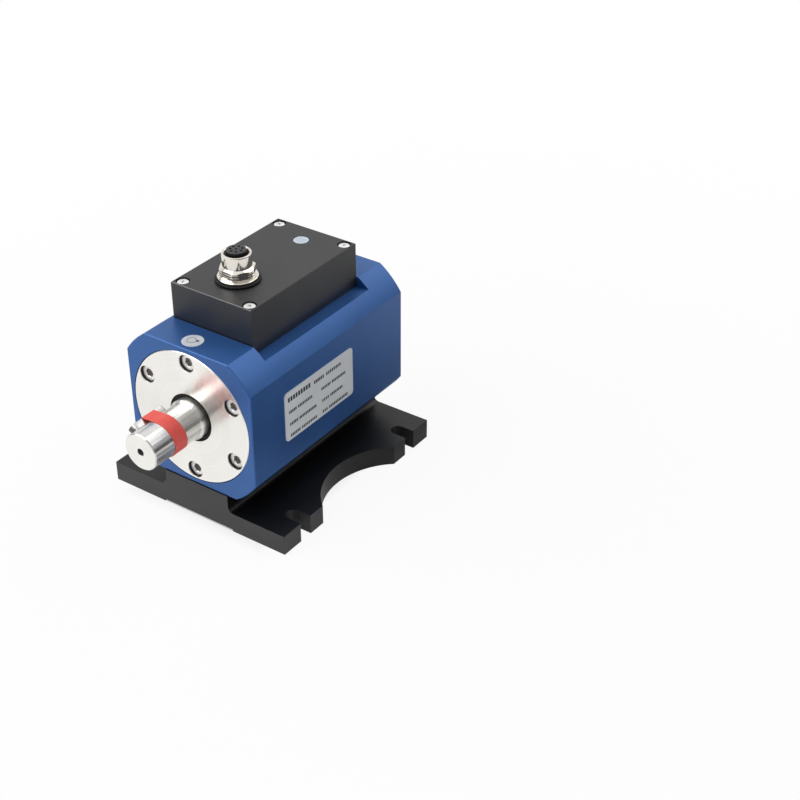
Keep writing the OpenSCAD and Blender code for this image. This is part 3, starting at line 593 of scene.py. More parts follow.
def black_anodised(name, rough=0.48, gloss=0.65, dye="black", paler=broken_edges, pale="black_broken"):
    """Dyed black aluminium: a fine grain, specks of dust, a painted highlight along the edges, and painted
    light where a mask says so.
    """
    f = Finish(name, Metallic=0.0, Specular_IOR_Level=gloss)
    clouds, grain = f.noise(40.0, 3.0), f.noise(3000.0)
    rounded = f.soft_edge(0.22 * MM)
    specks = f.node("ShaderNodeTexVoronoi", {"Vector": f.place, "Scale": 130.0}, feature="F1").outputs
    near = f.spread(specks["Distance"], 0.016, 0.028, 1.0, 0.0)
    chosen = f.node("ShaderNodeSeparateColor", {0: specks["Color"]}).outputs[0]
    dust = f.math("MULTIPLY", near, f.spread(chosen, 0.72, 0.95, 0.0, 0.8))
    # Painted light where the mask says so: a highlight on the box's broken edges, and on the base paler sides
    # with a darker top
    dyed = f.mix(paler(f), tint_of(dye), tint_of(pale))
    # Painted highlight along the edges
    edge_lit = f.mix(f.edge_mask(rounded, 0.7), dyed, hues().black_edge)
    roughness = f.math("ADD", f.vary(grain, rough - 0.04, rough + 0.04), f.vary(clouds, -0.03, 0.03))
    return f.feed(Base_Color=f.mix(dust, edge_lit, hues().dust), Roughness=roughness,
                  Normal=f.bump(grain, 0.12, 0.1 * MM, rounded))


def turned_steel(name, rough, marks=0.05, drawn=0.65, shade=None, metallic=1.0):
    """Turned steel: tool marks round the shaft's axis draw reflections out across them, and it is stained
    faintly. A function can shade the colour and mark hollows, which get painted shade and are made dull."""
    f = Finish(name, Metallic=metallic, Anisotropic=drawn, Anisotropic_Rotation=0.25)
    lathe = f.about_shaft()
    fine, broad = f.noise(5200.0, 2.0, lathe), f.noise(420.0, 3.0, lathe)
    stains = f.noise(55.0, 4.0)
    tone = f.math("ADD", f.vary(fine, -0.12, 0.12), f.vary(broad, 0.0, 0.22))
    tone = f.math("MINIMUM", f.math("MAXIMUM", tone, 0.0), 1.0)
    base = f.mix(tone, hues().steel, hues().steel_dark)
    roughness = f.math("ADD", f.vary(stains, rough - 0.04, rough + 0.06), f.vary(fine, -0.02, 0.03))
    tangent = f.node("ShaderNodeTangent", {}, direction_type="RADIAL", axis="Y").outputs["Tangent"]
    if shade:
        base, shade_mask = shade(f, base)
        # Painted shade in the hollows, which are also made dull and not metallic
        base = f.mix(shade_mask, base, hues().recess)
        roughness = f.math("MAXIMUM", roughness, f.math("MULTIPLY", shade_mask, 0.9))
        f.feed(Metallic=f.spread(shade_mask, 0.0, 1.0, metallic, 0.0))
    return f.feed(Base_Color=base, Roughness=roughness, Tangent=tangent,
                  Normal=f.bump(fine, marks, 0.05 * MM, f.soft_edge(0.2 * MM)))


def polished(name, tint, rough, marks=0.03, shade_mask=None, metallic=1.0, dark="recess"):
    """Polished or plated metal with faint scratches and spots, and painted shade where a mask says so."""
    f = Finish(name, Metallic=metallic)
    tint = tint_of(tint)
    scratches = f.noise(900.0, 3.0, f.mapped(scale=(1.0, 1.0, 0.2)))
    spots = f.noise(160.0, 3.0)
    base = f.mix(f.spread(spots, 0.45, 0.75, 0.0, 0.8), tint, tuple(0.82 * c for c in tint))
    # Painted shade where the mask says so
    if shade_mask:
        base = f.mix(shade_mask(f), base, tint_of(dark))
    return f.feed(Base_Color=base, Roughness=f.vary(scratches, rough - 0.03, rough + 0.05),
                  Normal=f.bump(scratches, marks, 0.04 * MM, f.soft_edge(0.12 * MM)))


def moulded(name, tint, rough, grain=1500.0, depth=0.1, shade_mask=None, dark=(0.002, 0.002, 0.002), **sockets):
    """A moulded, cast or coated surface with a fine grain and changes of tone, and painted shade where a mask
    says so.
    """
    f = Finish(name, **sockets)
    tint = tint_of(tint)
    fine, broad = f.noise(grain, 3.0), f.noise(90.0, 3.0)
    base = f.mix(f.vary(broad, 0.0, 1.0), tint, tuple(0.72 * c for c in tint))
    # Painted shade in the hollows
    if shade_mask:
        base = f.mix(shade_mask(f), base, dark)
    return f.feed(Base_Color=base, Roughness=f.vary(fine, rough - 0.06, rough + 0.06),
                  Normal=f.bump(fine, depth, 0.1 * MM))


def red_tape(name):
    """Thin plastic tape: slight creases across it and a soft gloss."""
    f = Finish(name, Specular_IOR_Level=0.4)
    crease = f.noise(420.0, 3.0, f.mapped(scale=(1.0, 0.35, 1.0)))
    pale = tuple(min(1.0, 1.12 * c + 0.02) for c in hues().tape)
    return f.feed(Base_Color=f.mix(f.spread(crease, 0.35, 0.7), hues().tape, pale),
                  Roughness=f.vary(f.noise(2600.0), 0.38, 0.52), Normal=f.bump(crease, 0.18, 0.2 * MM))


def striped(name, first, second, pitch, metallic, rough, axis="Y"):
    """Turns of wire or foil lines: narrow bands along one axis."""
    f = Finish(name, Metallic=metallic)
    bands = f.node("ShaderNodeTexWave", {"Vector": f.place, "Scale": math.pi / 10 / pitch,
                                         "Distortion": 0.4, "Detail": 1.0},
                   wave_type="BANDS", bands_direction=axis, wave_profile="SIN").outputs["Fac"]
    return f.feed(Base_Color=f.mix(bands, first, second),
                  Roughness=f.vary(f.noise(700.0), rough - 0.05, rough + 0.08),
                  Normal=f.bump(bands, 0.6, 0.3 * MM))


def circuit_board(name, green=(0.008, 0.10, 0.035), track=(0.03, 0.23, 0.08)):
    """Green board with paler tracks and a woven tone."""
    f = Finish(name, Specular_IOR_Level=0.5, Coat_Weight=0.3)
    none, full = (0, 0, 0, 1), (1, 1, 1, 1)
    bricks = f.node("ShaderNodeTexBrick", {"Vector": f.place, "Color1": none, "Color2": none, "Mortar": full,
                                           "Scale": 260.0, "Mortar Size": 0.035, "Brick Width": 1.3,
                                           "Row Height": 0.5}).outputs["Color"]
    tracks = f.node("ShaderNodeSeparateColor", {0: bricks}).outputs[0]
    weave = f.noise(1800.0)
    return f.feed(Base_Color=f.mix(f.math("MAXIMUM", f.vary(weave, 0.0, 0.25), tracks), green, track),
                  Roughness=f.vary(weave, 0.3, 0.42), Normal=f.bump(tracks, 0.2, 0.1 * MM))


def silver_plate(name):
    """A satin foil plate with a fine grain along its length."""
    f = Finish(name, Metallic=0.05, Specular_IOR_Level=0.5)
    grain = f.noise(900.0, 2.0, f.mapped(scale=(1.0, 0.08, 1.0)))
    bright = tuple(min(1.0, 1.1 * c) for c in hues().plate)
    return f.feed(Base_Color=f.mix(f.spread(f.noise(45.0), 0.35, 0.65), hues().plate, bright),
                  Roughness=f.vary(grain, 0.32, 0.46), Normal=f.bump(grain, 0.06, 0.05 * MM))


def pale_window(name):
    """A clear plug with a frosted middle and a whiter rim."""
    f = Finish(name, Coat_Weight=0.4, Specular_IOR_Level=0.5)
    frost = f.noise(1400.0)
    uneven = f.math("ADD", f.from_upright(WINDOW_Y), f.vary(frost, -0.08 * MM, 0.08 * MM))
    rim = f.spread(uneven, 2.7 * MM, 3.3 * MM)
    return f.feed(Base_Color=f.mix(rim, hues().window, hues().window_rim),
                  Roughness=f.vary(frost, 0.25, 0.4), Normal=f.bump(frost, 0.05, 0.05 * MM))


MAKERS = {
    "blue_anodised": blue_anodised,
    "black_anodised": black_anodised,
    # The base: painted shade on its top and painted light on its upright sides
    "base_black": partial(black_anodised, rough=0.4, gloss=0.36, dye="black_base", paler=lit_side_mask,
                          pale="black_milled"),
    # Painted shade in the covers' seats and in the shaft's centre holes
    "stainless": partial(turned_steel, rough=0.28, drawn=0.85, shade=cover_shade),
    "shaft_steel": partial(turned_steel, rough=0.21, marks=0.06, drawn=0.85, shade=shaft_shade, metallic=0.9),
    "bearing_steel": partial(turned_steel, rough=0.12, marks=0.02),
    # Painted shade on the keys' rounded ends
    "key_steel": partial(polished, tint=(0.56, 0.55, 0.53), rough=0.3, shade_mask=shaded_key_ends,
                         dark=(0.14, 0.14, 0.14)),
    "screw_steel": partial(polished, tint=(0.90, 0.89, 0.87), rough=0.32, metallic=0.7),
    # Painted shade in the screws' hexagon sockets and cross recesses
    "cover_screw": partial(polished, tint=(0.95, 0.94, 0.92), rough=0.4, metallic=0.5, dark="broached",
                           shade_mask=partial(below_face, depth=1.75 * MM)),
    "box_screw": partial(polished, tint=(0.95, 0.95, 0.94), rough=0.4, metallic=0.5, dark="broached",
                         shade_mask=partial(below_height, height=PAN_TOP - 0.5 * MM)),
    "spacer_brass": partial(polished, tint=(0.80, 0.60, 0.25), rough=0.25),
    # Painted shade in the collar's bore
    "nickel_plate": partial(polished, tint="nickel", rough=0.10, marks=0.02, shade_mask=in_bore),
    "spring_steel": partial(moulded, tint=(0.12, 0.12, 0.125), rough=0.4, grain=1200.0, depth=0.08,
                            Metallic=0.9),
    "cage_polyamide": partial(moulded, tint=(0.50, 0.38, 0.22), rough=0.5),
    "black_rubber": partial(moulded, tint="rubber", rough=0.6, grain=1400.0, depth=0.12,
                            Specular_IOR_Level=0.25),
    "ferrite": partial(moulded, tint=(0.10, 0.10, 0.11), rough=0.6, grain=1100.0, depth=0.2, Metallic=0.2),
    "lead_jacket": partial(moulded, tint=(0.55, 0.03, 0.025), rough=0.4, grain=2200.0, depth=0.06),
    "black_plastic": partial(moulded, tint=(0.022, 0.022, 0.024), rough=0.48, grain=2400.0),
    # Painted shade in the insert's contact holes
    "socket_plastic": partial(moulded, tint=(0.062, 0.062, 0.066), rough=0.55, grain=2400.0,
                              shade_mask=partial(below_height, height=INSERT_TOP - 0.25 * MM),
                              Specular_IOR_Level=0.35),
    "label_white": partial(moulded, tint="label", rough=0.5, grain=1600.0, depth=0.05),
    "plate_ink": partial(moulded, tint="ink", rough=0.5, grain=2600.0, depth=0.05),
    "label_ink": partial(moulded, tint="mark", rough=0.5, grain=2600.0, depth=0.05),
    "red_tape": red_tape,
    "gauge_foil": partial(striped, first=(0.62, 0.33, 0.08), second=(0.80, 0.55, 0.22), pitch=0.6 * MM,
                          metallic=0.2, rough=0.35, axis="X"),
    "copper": partial(striped, first=(0.42, 0.16, 0.07), second=(0.80, 0.40, 0.20), pitch=0.5 * MM,
                      metallic=1.0, rough=0.28),
    "circuit_board": circuit_board,
    "pale_window": pale_window,
    "plate_silver": silver_plate,
}


def finish(slot):
    """The material of a slot, made on first use."""
    name = "finish_" + slot
    return bpy.data.materials.get(name) or MAKERS[slot](name).material


# Screws

def socket_screw(name, length_below):
    """A socket screw that points down, with its head's underside at zero: turned, knurled, and cut with a
    broach.
    """
    s = bpy.context.scene.sensor_screws
    head, high, thread = s.head_d / 2, s.head_h, s.thread_d / 2
    edge, tip, lip, round_off = 0.45 * MM, 0.5 * MM, 0.15 * MM, 0.13 * MM
    flutes, flute_left = 36, 0.975
    screw = turned(name, [
        (thread - tip, -length_below), (thread, tip - length_below), (thread, 0), (head - lip, 0),
        (head, lip), (head, 0.5 * high), (head, high - edge), (head - round_off, high - round_off),
        (head - edge, high), (0.62 * head, high)], 2 * flutes)
    select_verts(screw, lambda co: co.xy.length > head - 0.01 * MM and lip <= co.z + TINY
                 and co.z < high - 0.9 * edge and round(math.atan2(co.y, co.x) / math.pi * flutes) % 2)
    narrow(flute_left)
    corner, floor = s.hexagon / math.sqrt(3), 0.5 * high
    broach = turned("broach", [(corner, high + MM), (corner, floor), (0.1 * MM, floor - 0.55 * corner)], 6)
    combine(screw, broach, "DIFFERENCE")
    mouth = turned("mouth", [(corner + 1.1 * MM, high + MM), (corner - 0.35 * MM, high - 0.45 * MM)], 48)
    combine(screw, mouth, "DIFFERENCE")
    return smooth(screw)


def pan_screw(name):
    """A pan head screw that points down: turned to a low dome, with a tapered cross recess."""
    s = bpy.context.scene.sensor_screws
    head, high, thread, lip = s.pan_d / 2, s.pan_h, s.pan_thread_d / 2, 0.15 * MM
    blade_wide, blade_left = 0.24, 0.62
    dome = [(head * math.cos(a), high * (0.84 + 0.16 * math.sin(a)))
            for a in (math.radians(d) for d in (0, 12, 24, 36, 48, 60, 72, 82))]
    screw = turned(name, [(0.8 * thread, -s.pan_length), (thread, 0.3 * MM - s.pan_length), (thread, 0),
                          (head - lip, 0), (head, lip)] + dome, 64)
    for quarter in (0, math.pi / 2):
        deselect()
        bpy.ops.mesh.primitive_cube_add(size=1.0, location=(0, 0, high), rotation=(0, 0, quarter),
                                        scale=(s.cross, blade_wide * s.cross, 1.3 * high))
        blade = settle(named("blade"))
        select_verts(blade, lambda co: co.z < high)
        narrow(blade_left)
        combine(screw, blade, "DIFFERENCE")
    return smooth(screw)


class SENSOR_OT_cover_screws(bpy.types.Operator):
    """Sets socket screws into both end covers"""

    bl_idname = "sensor.cover_screws"
    bl_label = "Cover screws"

    def execute(self, context):
        s = context.scene.sensor_screws
        circle, first = s.cover_circle / 2, math.radians(30)
        hex_turns = (12, 47, 25, 3, 38, 55)
        for end, side in ENDS:
            outward = Matrix.Rotation(-side * math.pi / 2, 4, "X")
            places = []
            for i in range(s.cover_count):
                a = first + i * 2 * math.pi / s.cover_count
                at = Vector((circle * math.cos(a), side * (-FACE_Y - s.cover_seat),
                             AXIS_Z + circle * math.sin(a)))
                hex_turn = Matrix.Rotation(math.radians(hex_turns[i % len(hex_turns)]), 4, "Z")
                places.append(Matrix.Translation(at) @ outward @ hex_turn)
            group = set_out(socket_screw("cover_screw", s.cover_length), places, end + "_socket_screws")
            hand_over(group, "stator", "screw_steel", end + "_cover_screws", look="cover_screw")
        return {"FINISHED"}


class SENSOR_OT_base_screws(bpy.types.Operator):
    """Sets the screws that hold the housing, from below"""

    bl_idname = "sensor.base_screws"
    bl_label = "Base screws"

    def execute(self, context):
        s = context.scene.sensor_screws
        over = Matrix.Rotation(math.pi, 4, "X")
        places = [Matrix.Translation((x * s.base_x / 2, y * s.base_y / 2, s.base_seat)) @ over
                  @ Matrix.Rotation(0.3 + 0.5 * x + 0.9 * y, 4, "Z") for x in (-1, 1) for y in (-1, 1)]
        group = set_out(socket_screw("base_screw", s.base_length), places, "base_socket_screws")
        hand_over(group, "stator", "screw_steel", "base_screws")
        return {"FINISHED"}


class SENSOR_OT_box_screws(bpy.types.Operator):
    """Sets the four pan head screws of the signal box"""

    bl_idname = "sensor.box_screws"
    bl_label = "Box screws"

    def execute(self, context):
        s = context.scene.sensor_screws
        low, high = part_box("signal_box")
        turns = (20, -35, 65, 5)
        corners = [(x, y) for x in (low.x + s.pan_inset, high.x - s.pan_inset)
                   for y in (low.y + s.pan_inset, high.y - s.pan_inset)]
        places = [Matrix.Translation((x, y, BOX_TOP - s.pan_seat)) @ Matrix.Rotation(math.radians(t), 4, "Z")
                  for (x, y), t in zip(corners, turns)]
        group = set_out(pan_screw("box_screw"), places, "box_pan_screws")
        hand_over(group, "stator", "screw_steel", "box_screws", look="box_screw")
        return {"FINISHED"}


# Base, housing, covers and inner pieces

class SENSOR_OT_base(bpy.types.Operator):
    """Finishes the slotted base"""

    bl_idname = "sensor.base"
    bl_label = "Base"

    def execute(self, context):
        paint("base_plate", look="base_black")
        return {"FINISHED"}


class SENSOR_OT_housing(bpy.types.Operator):
    """Finishes the housing"""

    bl_idname = "sensor.housing"
    bl_label = "Housing"

    def execute(self, context):
        paint("housing")
        return {"FINISHED"}


class SENSOR_OT_covers(bpy.types.Operator):
    """Finishes the end covers and their seals"""

    bl_idname = "sensor.covers"
    bl_label = "End covers"

    def execute(self, context):
        paint("front_cover", "rear_cover", "front_seal", "rear_seal")
        return {"FINISHED"}


class SENSOR_OT_bearings(bpy.types.Operator):
    """Finishes the ball bearings and their retaining rings"""

    bl_idname = "sensor.bearings"
    bl_label = "Bearings"

    def execute(self, context):
        for end, _ in ENDS:
            paint(*(end + "_" + piece for piece in ("outer_ring", "inner_ring", "balls", "cage", "clip")))
        return {"FINISHED"}


class SENSOR_OT_signal_transfer(bpy.types.Operator):
    """Finishes the strain gauges, coil rings, windings, leads and the turning board"""

    bl_idname = "sensor.signal_transfer"
    bl_label = "Signal transfer"

    def execute(self, context):
        paint("strain_gauges", "rotor_core", "rotor_winding", "rotor_board", "stator_core", "stator_winding",
              "stator_leads")
        return {"FINISHED"}


class SENSOR_OT_signal_box(bpy.types.Operator):
    """Finishes the signal box and its circuit board"""

    bl_idname = "sensor.signal_box"
    bl_label = "Signal box"

    def execute(self, context):
        paint("signal_box", "main_board", "board_spacers", "board_screws", "board_chips")
        return {"FINISHED"}


# Shaft, keys and tape

class SENSOR_OT_shaft(bpy.types.Operator):
    """Finishes the shaft and fits its two keys, with broken edges"""

    bl_idname = "sensor.shaft"
    bl_label = "Shaft and keys"

    def execute(self, context):
        paint("shaft", look="shaft_steel")
        s = context.scene.sensor_shaft
        radial = Vector((math.cos(s.key_angle), 0, math.sin(s.key_angle)))
        half = (s.key_l - s.key_w) / 2
        for end, side in ENDS:
            deselect()
            bpy.ops.mesh.primitive_cylinder_add(vertices=48, radius=s.key_w / 2, depth=s.key_h,
                                                location=(0, 0, s.key_h / 2))
            key = settle(named(end + "_shaft_key"))
            for way in (-1, 1):
                select_verts(key, lambda co: way * co.x > 0.01 * MM)
                bpy.ops.transform.translate(value=(way * half, 0, 0))
                mode("OBJECT")
            bevel_edges(key, s.key_edge, 2, lambda a, b: abs(a.z - b.z) < TINY)
            along = Vector((0, side, 0))
            turn = Matrix((along, radial.cross(along), radial)).transposed().to_4x4()
            middle = Vector((0, side * (-SHAFT_END_Y - s.key_inset - s.key_l / 2), AXIS_Z))
            key.matrix_world = Matrix.Translation(middle + (s.shaft_d / 2 - s.key_depth) * radial) @ turn
            hand_over(smooth(settle(key)), "rotor", "stainless", end + "_key", look="key_steel")
        return {"FINISHED"}


def polar(radius, a):
    """A point at a radius and an angle."""
    return radius * Vector((math.cos(a), math.sin(a)))


def steps(first, last, count):
    """Evenly spaced values from the first to the last."""
    return [first + i * (last - first) / count for i in range(count + 1)]


class SENSOR_OT_tape(bpy.types.Operator):
    """Winds the red tape round the shaft end and over the key"""

    bl_idname = "sensor.tape"
    bl_label = "Tape"

    def path(self, s):
        """Points round the shaft and over the key, from under the shaft, with the key along +X."""
        gap, bend, full = s.tape_gap, 0.35 * MM, 2 * math.pi
        r = s.shaft_d / 2 + gap
        top, side = s.shaft_d / 2 - s.key_depth + s.key_h + gap, s.key_w / 2 + gap
        touch = math.atan2(side, top) + math.acos(r / math.hypot(top, side))
        start = math.radians(-215)
        points = [polar(r, a) for a in steps(start, -touch, 60)]
        for sign in (-1, 1):
            corner = Vector((top - bend, sign * (side - bend)))
            first, last = sorted((sign * math.radians(8), sign * math.radians(62)))
            points += [corner + polar(bend, a) for a in steps(first, last, 6)]
        # The end rises over the start and lies on it
        rise = 0.12
        for a in steps(touch, start + full + s.tape_overlap / r, 72):
            over = min(1.0, max(0.0, (a - start - full + rise) / rise))
            points.append(polar(r + over * 1.15 * s.tape_t, a))
        return points

    def execute(self, context):
        s = context.scene.sensor_shaft
        lift_most, ragged_most, creases, tears = 0.035 * MM, 0.10 * MM, 420, 160
        points = self.path(s)
        runs = [0.0]
        for a, b in zip(points, points[1:]):
            runs.append(runs[-1] + (b - a).length)
        total, wide, middle = runs[-1], TAPE_HIGH.y - TAPE_LOW.y, (TAPE_LOW.y + TAPE_HIGH.y) / 2
        deselect()
        bpy.ops.mesh.primitive_grid_add(x_subdivisions=300, y_subdivisions=10, size=1.0)
        tape = named("shaft_tape")
        turn = Matrix.Rotation(s.key_angle, 2)
        for vert in tape.data.vertices:
            run, across = (vert.co.x + 0.5) * total, vert.co.y
            i = min(range(len(runs) - 1), key=lambda k: (runs[k] > run, run - runs[k]))
            part = (run - runs[i]) / max(1e-9, runs[i + 1] - runs[i])
            flat = points[i].lerp(points[i + 1], min(1.0, part))
            lift = lift_most * (0.5 + 0.5 * noise.noise(Vector((run * creases, across * 4.0, 1.7))))
            flat = turn @ (flat + lift * flat.normalized())
            edge = 2.0 if across > 0 else 9.0
            ragged = ragged_most * noise.noise(Vector((run * tears, 5.0, edge)))
            y = middle + across * wide + 2 * abs(across) * ragged
            y += s.tape_slant * max(0.0, s.shaft_d / 2 - flat.y)
            vert.co = (flat.x, y, AXIS_Z + flat.y)
        choose(tape)
        mode("EDIT")
        face_outward()
        wall = tape.modifiers.new("wall", "SOLIDIFY")
        wall.thickness, wall.offset = s.tape_t, 1.0
        bpy.ops.object.modifier_apply(modifier=wall.name)
        hand_over(smooth(tape, 40), "rotor", "red_tape", "tape_band")
        return {"FINISHED"}


# Socket, window and plates

class SENSOR_OT_socket(bpy.types.Operator):
    """Builds the plated socket shell and finishes the rest of the socket"""

    bl_idname = "sensor.socket"
    bl_label = "Cable socket"

    def grooves(self, radius, depth, low, high, pitch):
        """A profile with evenly spaced round grooves between two heights."""
        count = max(1, int((high - low) / pitch))
        step = (high - low) / count
        # One groove: how much of the depth is cut at each part of the step
        shape = ((0.0, 0.08), (0.0, 0.30), (0.8, 0.42), (1.0, 0.54), (0.8, 0.66), (0.0, 0.80))
        return [(radius - cut * depth, low + i * step + part * step)
                for i in range(count) for cut, part in shape]

    def threads(self, s, bore):
        """A profile of the thread, from the rim down."""
        minor = bore - s.thread_depth
        # One turn: a radius at each part of the pitch
        shape = ((bore, 0.0), (bore, 0.2), (minor, 0.48), (minor, 0.72))
        points, z = [], s.rim_high - 0.8 * MM
        while z > s.cone_high + 1.2 * MM:
            points += [(radius, z - part * s.thread_pitch) for radius, part in shape]
            z -= s.thread_pitch
        return points

    def execute(self, context):
        s = context.scene.sensor_socket
        shank, flange, collar, drum = s.shank_d / 2, s.flange_d / 2, s.collar_d / 2, s.drum_d / 2
        bore, inner, corner = s.bore_d / 2, s.inner_d / 2, s.hexagon / math.sqrt(3)
        low, high, rim, soft, fine = s.flange_low, s.flange_high, s.rim_high, 0.25 * MM, 128
        shell = turned("socket_barrel", [
            (shank, -s.shank_low), (shank, low), (flange - soft, low), (flange, low + soft),
            (flange, high - soft), (flange - soft, high), (collar, high), (collar, rim - 0.6 * MM),
            (collar, rim - 0.45 * MM), (collar - 0.12 * MM, rim - 0.13 * MM), (collar - 0.4 * MM, rim)], fine)
        nut = turned("nut", [(drum - 0.5 * MM, high - 0.2 * MM), (drum - 0.2 * MM, high + 0.1 * MM)]
                     + self.grooves(drum, s.groove_depth, high + 0.2 * MM, s.drum_high, s.groove_pitch)
                     + [(drum, s.drum_high), (collar - 0.1 * MM, s.cone_high)], fine)
        flats = turned("flats", [(corner, 0), (corner, rim)], 6, turn=math.radians(30))
        combine(shell, combine(nut, flats, "INTERSECT"), "UNION")
        tap = turned("tap", [(bore + 1.35 * MM, rim + MM), (bore, rim - 0.35 * MM)] + self.threads(s, bore)
                     + [(bore, s.cone_high + MM), (bore, high), (inner, high - 0.001 * MM),
                        (inner, -s.shank_low - MM)], fine)
        combine(shell, tap, "DIFFERENCE")
        shell.location = (0, SOCKET_Y, BOX_TOP)
        hand_over(smooth(settle(shell)), "stator", "nickel_plate", "socket_shell")
        paint("socket_nut", "socket_gasket", "socket_contacts")
        paint("socket_insert", look="socket_plastic")
        return {"FINISHED"}


class SENSOR_OT_window(bpy.types.Operator):
    """Turns the indicator window with its raised rim"""

    bl_idname = "sensor.window"
    bl_label = "Indicator window"

    def execute(self, context):
        low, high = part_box("indicator_window")
        radius, top = (high.x - low.x) / 2, high.z
        guide, under = radius - 1.3 * MM, top - 4.0 * MM
        lens = turned("indicator_lens", [
            (guide, low.z), (guide, under), (radius, under), (radius, top - 0.2 * MM),
            (radius - 0.06 * MM, top - 0.06 * MM), (radius - 0.2 * MM, top), (radius - 0.55 * MM, top),
            (radius - 0.75 * MM, top - 0.12 * MM), (0.35 * radius, top - 0.06 * MM),
            (0.05 * radius, top - 0.04 * MM)], 96)
        lens.location = (0, WINDOW_Y, 0)
        hand_over(smooth(settle(lens)), "stator", "pale_window", "indicator_window")
        return {"FINISHED"}


PRINT_THICK = 0.03 * MM


def print_block(name):
    """One flat block of print, 1 mm square: a plane that is extruded and has its upper edges broken."""
    deselect()
    bpy.ops.mesh.primitive_plane_add(size=MM)
    block = named(name)
    mode("EDIT")
    bpy.ops.mesh.select_all(action="SELECT")
    bpy.ops.mesh.extrude_region_move(TRANSFORM_OT_translate={"value": (0, 0, PRINT_THICK)})
    face_outward()
    half = 0.5 * PRINT_THICK
    return bevel_edges(block, 0.01 * MM, 1, lambda a, b: a.z > half and b.z > half)


class SENSOR_OT_nameplate(bpy.types.Operator):
    """Finishes the nameplate and sets plain blocks in place of print on it"""

    bl_idname = "sensor.nameplate"
    bl_label = "Nameplate"

    def execute(self, context):
        paint("nameplate")
        # Each row, in millimetres: its height, its blocks' height, and where its words start and end
        rows = ((22.4, 2.5, ((2.0, 19.5),)), (22.0, 1.8, ((22.0, 30.0), (31.5, 43.5))),
                (15.4, 1.6, ((2.6, 8.5), (9.4, 20.5), (27.5, 35.0), (35.9, 47.0))),
                (8.6, 1.6, ((2.9, 9.2), (10.1, 23.5), (27.8, 33.5), (34.4, 44.5))),
                (2.3, 1.6, ((3.2, 10.8), (11.7, 23.7), (28.0, 32.2), (33.1, 48.5))))
        block_shape, block_pitch = 0.55, 1.45
        face = Matrix(((0, 0, 1), (1, 0, 0), (0, 1, 0))).to_4x4()
        places = []
        for height, tall, words in rows:
            wide = block_shape * tall
            size = Matrix.Diagonal((wide, tall, 1.0, 1.0))
            for start, end in words:
                count = max(1, round((end - start) / (block_pitch * wide)))
                pitch = (end - start) / count
                for i in range(count):
                    at = Vector((PLATE_HIGH.x, PLATE_LOW.y + (start + (i + 0.5) * pitch) * MM,
                                 PLATE_LOW.z + height * MM))
                    places.append(Matrix.Translation(at) @ face @ size)
        group = set_out(print_block("print"), places, "nameplate_print")
        group.data.materials.append(finish("plate_ink"))
        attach(group, "stator")
        return {"FINISHED"}


class SENSOR_OT_round_label(bpy.types.Operator):
    """Finishes the round label and sets a plain ring and a block on it"""

    bl_idname = "sensor.round_label"
    bl_label = "Round label"

    def execute(self, context):
        paint("round_label")
        middle = (LABEL_LOW + LABEL_HIGH) / 2
        inner, outer, size = 2.1 * MM, 2.35 * MM, 1.5
        ring = turned("label_ring", [(inner, 0), (outer, 0), (outer, PRINT_THICK), (inner, PRINT_THICK),
                                     (inner, 0)], 64, ring=True)
        block = print_block("label_block")
        block.matrix_world = Matrix.Translation((2.6 * MM, 1.1 * MM, 0)) @ Matrix.Diagonal((size, size, 1, 1))
        choose(ring)
        block.select_set(True)
        bpy.ops.object.join()
        mark = named("label_mark")
        mark.location = (middle.x - 0.6 * MM, middle.y, LABEL_HIGH.z)
        settle(mark).data.materials.append(finish("label_ink"))
        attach(mark, "stator")
        return {"FINISHED"}


# Stage

